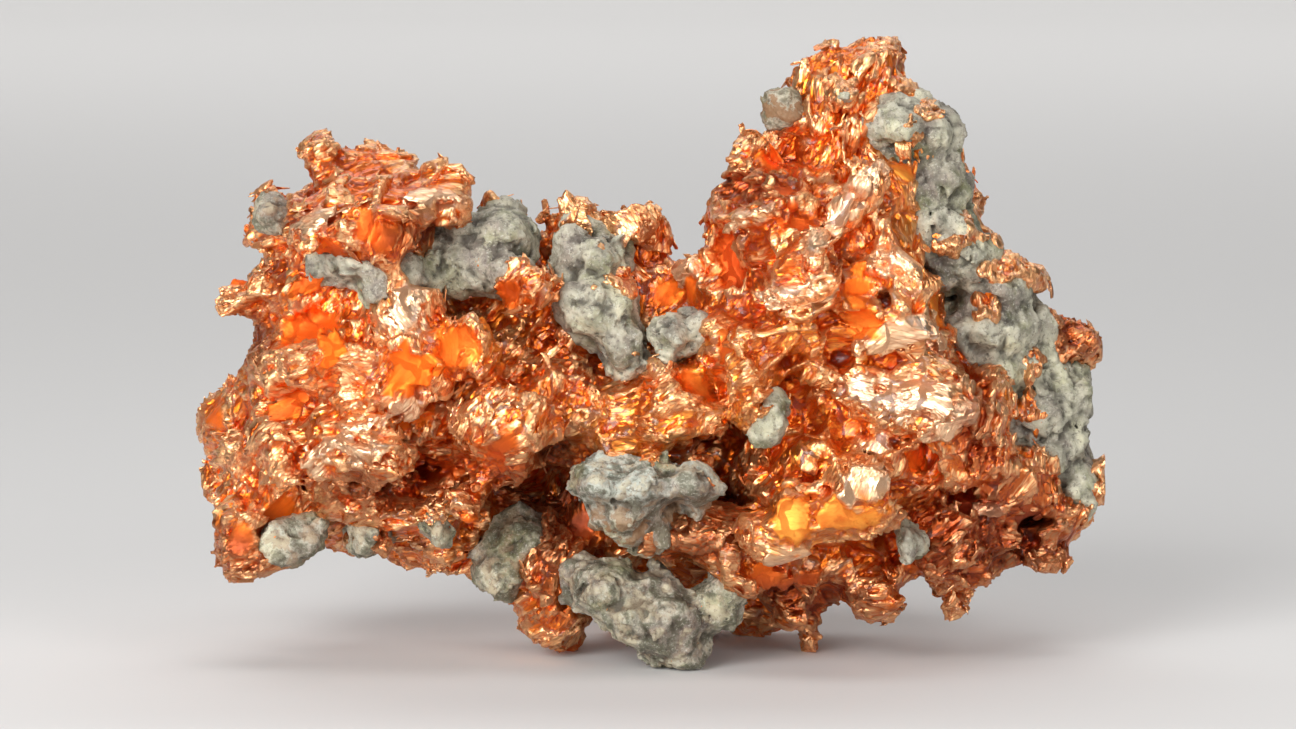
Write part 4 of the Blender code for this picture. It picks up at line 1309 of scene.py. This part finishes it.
def copper_finish():
    finish = Finish("native_copper_metal")
    at = finish.place()
    patch, splinter, flake, window, plate, hollow, edge, gold, red, browned, dark, highlight_zone = (
        finish.attribute(name) for name in (
            "patch", "splinter", "flake", "window", "plate", "hollow", "edge", "gold", "red",
            "browned", "dark", "highlight_zone"))
    combed = finish.attribute("combed", "Vector")
    cloud = finish.noise(at, 0.45, 3.0)
    chip_place = finish.scaled(combed, 4.4)
    chip, chip_height, _ = chips(finish, chip_place)
    crumb, crumb_height, crumb_away = chips(finish, finish.scaled(combed, 10.0))
    border = finish.node("ShaderNodeTexVoronoi", {"feature": "DISTANCE_TO_EDGE"},
                         {"Vector": chip_place, "Scale": 1.0})
    # The pale mask is partly the metal's random pale tone and partly painted light: a painted highlight
    # on edges, plates and the highlight zones, and painted shade, less pale, in hollows.
    pale = splinter * 0.30 + flake * 0.14 + chip * 0.30 + crumb * 0.12 + patch * 0.10 + edge * 1.3
    pale = pale + highlight_zone * 0.16 + plate * 0.25 - hollow * 0.4 - red * 0.12
    pale = pale.step(0.40, 0.62) * (1 - window)
    colour = finish.mix(pale, COPPER_BODY, COPPER_PALE)
    # painted highlight: the plates are painted cream
    colour = finish.mix(plate * 0.7, colour, PLATE_HIGHLIGHT_CREAM)
    warm = ((1 - patch) * 0.5 + cloud - pale * 0.4 - plate * 0.5).step(0.48, 0.76)
    colour = finish.mix(warm * 0.85, colour, WARM_COPPER)
    colour = finish.mix((gold * (1 - pale * 0.6)) * 0.75, colour, FILM_GOLD)
    # painted shade: creases, where the surface is hollow at a small scale, are painted orange, the
    # colour of light bounced in them
    colour = finish.mix(edge.step(0.00, -0.14) * 0.6 * (1 - window), colour, CREASE_SHADE_ORANGE)
    # painted reflection: smooth films are painted saturated orange and made less metallic, standing for
    # the copper they reflect
    colour = finish.mix(window, colour, REFLECTED_ORANGE)
    colour = finish.mix((gold * window) * 0.8, colour, FILM_GOLD)
    blush = finish.noise(at, 1.3, 3.0, 0.6)
    colour = finish.mix((window * blush.step(0.38, 0.78)) * 0.75, colour, FILM_BLUSH)
    # painted shade: red zones and red films are painted dark red, the red of light bounced in recesses
    colour = finish.mix((red * (1 - pale)) * 0.55, colour, DARK_RED_SHADE)
    # darker brown in the listed zones
    colour = finish.mix(browned * (1 - 0.4 * pale) * 0.9, colour, BROWNED_COPPER)
    # painted shade: hollows are painted dark red
    colour = finish.mix(hollow.step(0.05, 0.55) * 0.7, colour, DARK_RED_SHADE)
    # painted shade: the deep hollows are painted nearly black, more where the surface is hollow
    colour = finish.mix((dark * (0.75 + 1.2 * hollow)).clamped() * 0.92, colour, HOLLOW_SHADE_BLACK)
    # painted shade: brown lines along the chips' borders and dark specks where chips meet, less on films
    # and plates
    line = border.step(0.12, 0.03) * (0.35 + 0.65 * crumb) + crumb_away.step(0.52, 0.74) * 0.45
    line = line * (1 - 0.85 * window) * (1 - 0.4 * plate)
    colour = finish.mix(line.clamped() * 0.68, colour, GROOVE_SHADE_BROWN)
    fine = finish.noise(at, 9.0, 4.0, 0.7)
    roughness = 0.27 + 0.2 * dark + 0.10 * splinter + 0.08 * fine + 0.06 * chip + 0.14 * window
    smooth = window.maths("MAXIMUM", window, plate * 0.75)
    height = chip_height * (1.5 - 1.4 * smooth) + crumb_height * (1.0 - 0.85 * window)
    bump = finish.node("ShaderNodeBump", {}, {
        "Strength": 1.0, "Distance": 0.000085, "Height": height})
    finish.shader.inputs["Coat IOR"].default_value = 1.55
    finish.shader.inputs["Coat Roughness"].default_value = 0.20
    coat = (0.40 + 0.4 * fine - 0.5 * hollow.clamped() - 0.8 * window) * (1 - 0.7 * browned)
    return finish.wear(base_color=colour, metallic=1 - 0.3 * window, roughness=roughness,
                       coat_weight=coat, normal=bump)


def give_finish(pieces, material):
    """The pieces' only material."""
    for obj in pieces:
        obj.data.materials.clear()
        obj.data.materials.append(material)


give_finish(COPPER_SKINS + SLIVERS + FOILS, copper_finish())

# %% [markdown]
# ## The calcite's finish
# Calcite is clear to white, but here it is dulled by grime and tinged by the rock, mottled with green
# and mauve, and here and there a copper speck. Knob tops are painted lighter and cream, a painted
# highlight; hollows and cracks are painted brown-grey, a painted shade; pale sugary specks are partly
# painted glints. Iron has stained some pieces brown, and the same brown is painted on two pieces that
# sit in shadow, as painted shade. The ledge and the lobe's base are whiter on their upper half. Its
# gloss is uneven, because each sugary grain shows a face or a broken edge.

# %% Calcite finish
CALCITE_SHADE, CALCITE_LIGHT = (0.055, 0.050, 0.036), (0.47, 0.44, 0.335)
MAUVE, OLIVE, CREAM = (0.16, 0.115, 0.105), (0.19, 0.195, 0.085), (0.60, 0.575, 0.385)
UPPER_WHITE, VEIN_GREEN, VEIN_CREAM = (0.52, 0.57, 0.50), (0.060, 0.068, 0.034), (0.60, 0.57, 0.40)
SPECK, SUGAR_GLINT = (0.09, 0.07, 0.055), (0.62, 0.60, 0.51)
CREVICE_SHADE, RUST_AND_SHADE_BROWN = (0.05, 0.040, 0.026), (0.22, 0.095, 0.030)


def calcite_finish():
    finish = Finish("grey_calcite_sugar")
    at = finish.place()
    knob, grain, block, crack, hollow, stain_and_shade, upper_white = (
        finish.attribute(name)
        for name in ("knob", "grain", "block", "crack", "hollow", "stain_and_shade", "upper_white"))
    cloud = finish.noise(at, 0.45, 4.0, 0.65)
    stain = finish.noise(finish.place(0.8), 0.5, 3.0)
    speck = finish.noise(at, 4.5, 3.0, 0.7)
    vein = finish.noise(at, 1.2, 4.0, 0.6)
    sugar_glint = finish.noise(at, 8.0, 3.0, 0.7)
    # The light mask is the random tones of blocks, grains and cloud, with a painted highlight on the
    # knobs' tops and painted shade in hollows.
    light = (block * 0.35 + grain * 0.2 + knob * 0.2 + cloud * 1.0 - hollow * 2.0).step(0.52, 1.05)
    colour = finish.mix(light, CALCITE_SHADE, CALCITE_LIGHT)
    colour = finish.mix(stain.step(0.50, 0.62) * 0.6, colour, MAUVE)
    colour = finish.mix(cloud.step(0.48, 0.34) * 0.8, colour, OLIVE)
    # cream, more on the knobs' tops: partly a painted highlight
    colour = finish.mix(stain.step(0.47, 0.36) * (0.3 + 0.7 * knob) * 0.85, colour, CREAM)
    # whiter on the upper half of the ledge and the lobe's base
    colour = finish.mix(upper_white * (knob * 0.6 + cloud).step(0.50, 0.85) * 0.85, colour, UPPER_WHITE)
    # the brown share is iron stain on most pieces and painted shade on the two in shadow
    mottle = 0.35 + 0.65 * (stain_and_shade * 4.0).clamped()    # the stained pieces are the most mottled
    colour = finish.mix(vein.step(0.50, 0.41) * mottle * 0.75, colour, VEIN_GREEN)
    colour = finish.mix(vein.step(0.54, 0.61) * mottle * 0.65, colour, VEIN_CREAM)
    colour = finish.mix(speck.step(0.55, 0.63) * 0.6, colour, SPECK)
    # pale specks: sugary grains, partly painted glints
    colour = finish.mix(sugar_glint.step(0.55, 0.66) * 0.5, colour, SUGAR_GLINT)
    # painted shade: hollows and cracks are painted dark brown
    crevice_shade = (hollow.step(0.0, 0.12) + crack * 0.6).clamped()
    colour = finish.mix(crevice_shade * 0.75, colour, CREVICE_SHADE)
    # brown: iron stain, and painted shade on the pieces in shadow
    colour = finish.mix(stain_and_shade * (0.2 + vein.step(0.51, 0.56)).clamped(), colour, RUST_AND_SHADE_BROWN)
    cluster = finish.noise(at, 0.6, 2.0)
    fleck = finish.noise(at, 4.2, 2.0, 0.6)
    metal = (fleck + (cluster - 0.5) * 0.6).step(0.80, 0.82)
    colour = finish.mix(metal, colour, COPPER_BODY)
    rough = 0.50 + 0.25 * finish.noise(at, 7.0, 2.0, 0.6) - 0.15 * grain - 0.25 * metal
    bump = finish.node("ShaderNodeBump", {}, {
        "Strength": 0.9, "Distance": 0.00010,
        "Height": finish.noise(at, 5.5, 4.0, 0.75) + metal * 0.5})
    return finish.wear(base_color=colour, roughness=rough, metallic=metal * 0.9, normal=bump)


give_finish(CALCITES, calcite_finish())

# %% [markdown]
# ## Stage, light and camera
# The nugget stands on pale paper that sweeps up behind it. Metal shows what it reflects, so the key
# light is a large soft panel at the upper left and front, with weaker ones low on the left, at the
# right, in front and above, and the room is dim: facets that miss the panels fall dark, as metal does.

# %% Paper sweep
def sweep(width, front, back, height, bend, steps=24):
    """A sheet along a profile: flat from the front, a quarter circle of radius bend, then upright."""
    turn = np.linspace(0, np.pi / 2, steps)
    y = np.concatenate([[front], back - bend + bend * np.sin(turn), [back]])
    z = np.concatenate([[0.0], bend - bend * np.cos(turn), [height]])
    left = np.stack([np.full_like(y, -width / 2), y, z], axis=-1)
    right = left * [-1, 1, 1]
    points = np.concatenate([left, right]) / MM
    k = np.arange(len(y) - 1)
    faces = np.stack([k, k + len(y), k + len(y) + 1, k + 1], axis=-1)
    return mesh_object("paper_sweep", points, faces)


def plain_material(name, colour, roughness):
    material = bpy.data.materials.new(name)
    material.use_nodes = True
    shader = material.node_tree.nodes["Principled BSDF"]
    shader.inputs["Base Color"].default_value = (*colour, 1)
    shader.inputs["Roughness"].default_value = roughness
    return material


paper = sweep(4.0, -1.8, 1.2, 1.6, 0.35)
for polygon in paper.data.polygons:
    polygon.use_smooth = True
paper.data.materials.append(plain_material("pale_paper", (0.62, 0.61, 0.60), 0.8))

# %% Lights
world = bpy.data.worlds.new("studio")
bpy.context.scene.world = world
world.use_nodes = True
world.node_tree.nodes["Background"].inputs["Color"].default_value = (0.95, 0.97, 1.0, 1)
world.node_tree.nodes["Background"].inputs["Strength"].default_value = 0.12


def softbox(name, place, aim, size, glow):
    """A soft rectangular panel. Its power grows with its area, so that glow alone sets how bright it
    looks in the metal."""
    light = bpy.data.lights.new(name, "AREA")
    light.shape = "RECTANGLE"
    light.size, light.size_y = size
    light.energy = glow * math.pi * size[0] * size[1]
    obj = bpy.data.objects.new(name, light)
    bpy.context.scene.collection.objects.link(obj)
    obj.location = Vector(place)
    obj.rotation_euler = (Vector(aim) - Vector(place)).to_track_quat("-Z", "Y").to_euler()


MIDDLE = (0.0, 0.0, 0.013)
softbox("left_panel", (-0.14, -0.24, 0.14), MIDDLE, (0.16, 0.16), 10.0)
softbox("low_left_panel", (-0.20, -0.22, 0.035), MIDDLE, (0.12, 0.08), 9.0)
softbox("right_panel", (0.17, -0.23, 0.10), MIDDLE, (0.11, 0.14), 6.5)
softbox("top_panel", (0.0, -0.07, 0.28), MIDDLE, (0.24, 0.10), 3.0)
softbox("front_panel", (-0.06, -0.32, 0.075), MIDDLE, (0.11, 0.06), 10.0)
softbox("paper_wash", (0.0, 0.60, 0.80), (0.0, 1.00, 0.0), (1.6, 0.6), 3.2)

# %% Camera
LENS, SENSOR = 135.0, 36.0
FRAME_WIDTH, PIXEL = 1296, 0.0445    # the frame's width in pixels, and millimetres to a pixel
RISE = math.radians(6.0)
DISTANCE = LENS / SENSOR * FRAME_WIDTH * PIXEL * MM
AIM = Vector((-0.03, -2.476, 13.2)) * MM
camera = bpy.data.objects.new("camera", bpy.data.cameras.new("camera"))
camera.data.lens, camera.data.sensor_width = LENS, SENSOR
camera.data.clip_start, camera.data.clip_end = 0.01, 10.0
back = Vector((0, -math.cos(RISE), math.sin(RISE)))
camera.location = AIM + back * DISTANCE
camera.rotation_euler = (-back).to_track_quat("-Z", "Y").to_euler()
bpy.context.scene.collection.objects.link(camera)
bpy.context.scene.camera = camera
bpy.context.scene.view_settings.view_transform = "Standard"

# %% Sizes and the end
pieces = COPPER_SKINS + SLIVERS + FOILS + CALCITES
print("triangles in all", sum(len(obj.data.loops) - 2 * len(obj.data.polygons) for obj in pieces))
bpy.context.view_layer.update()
print("script took", round(time.time() - STARTED, 1), "s")
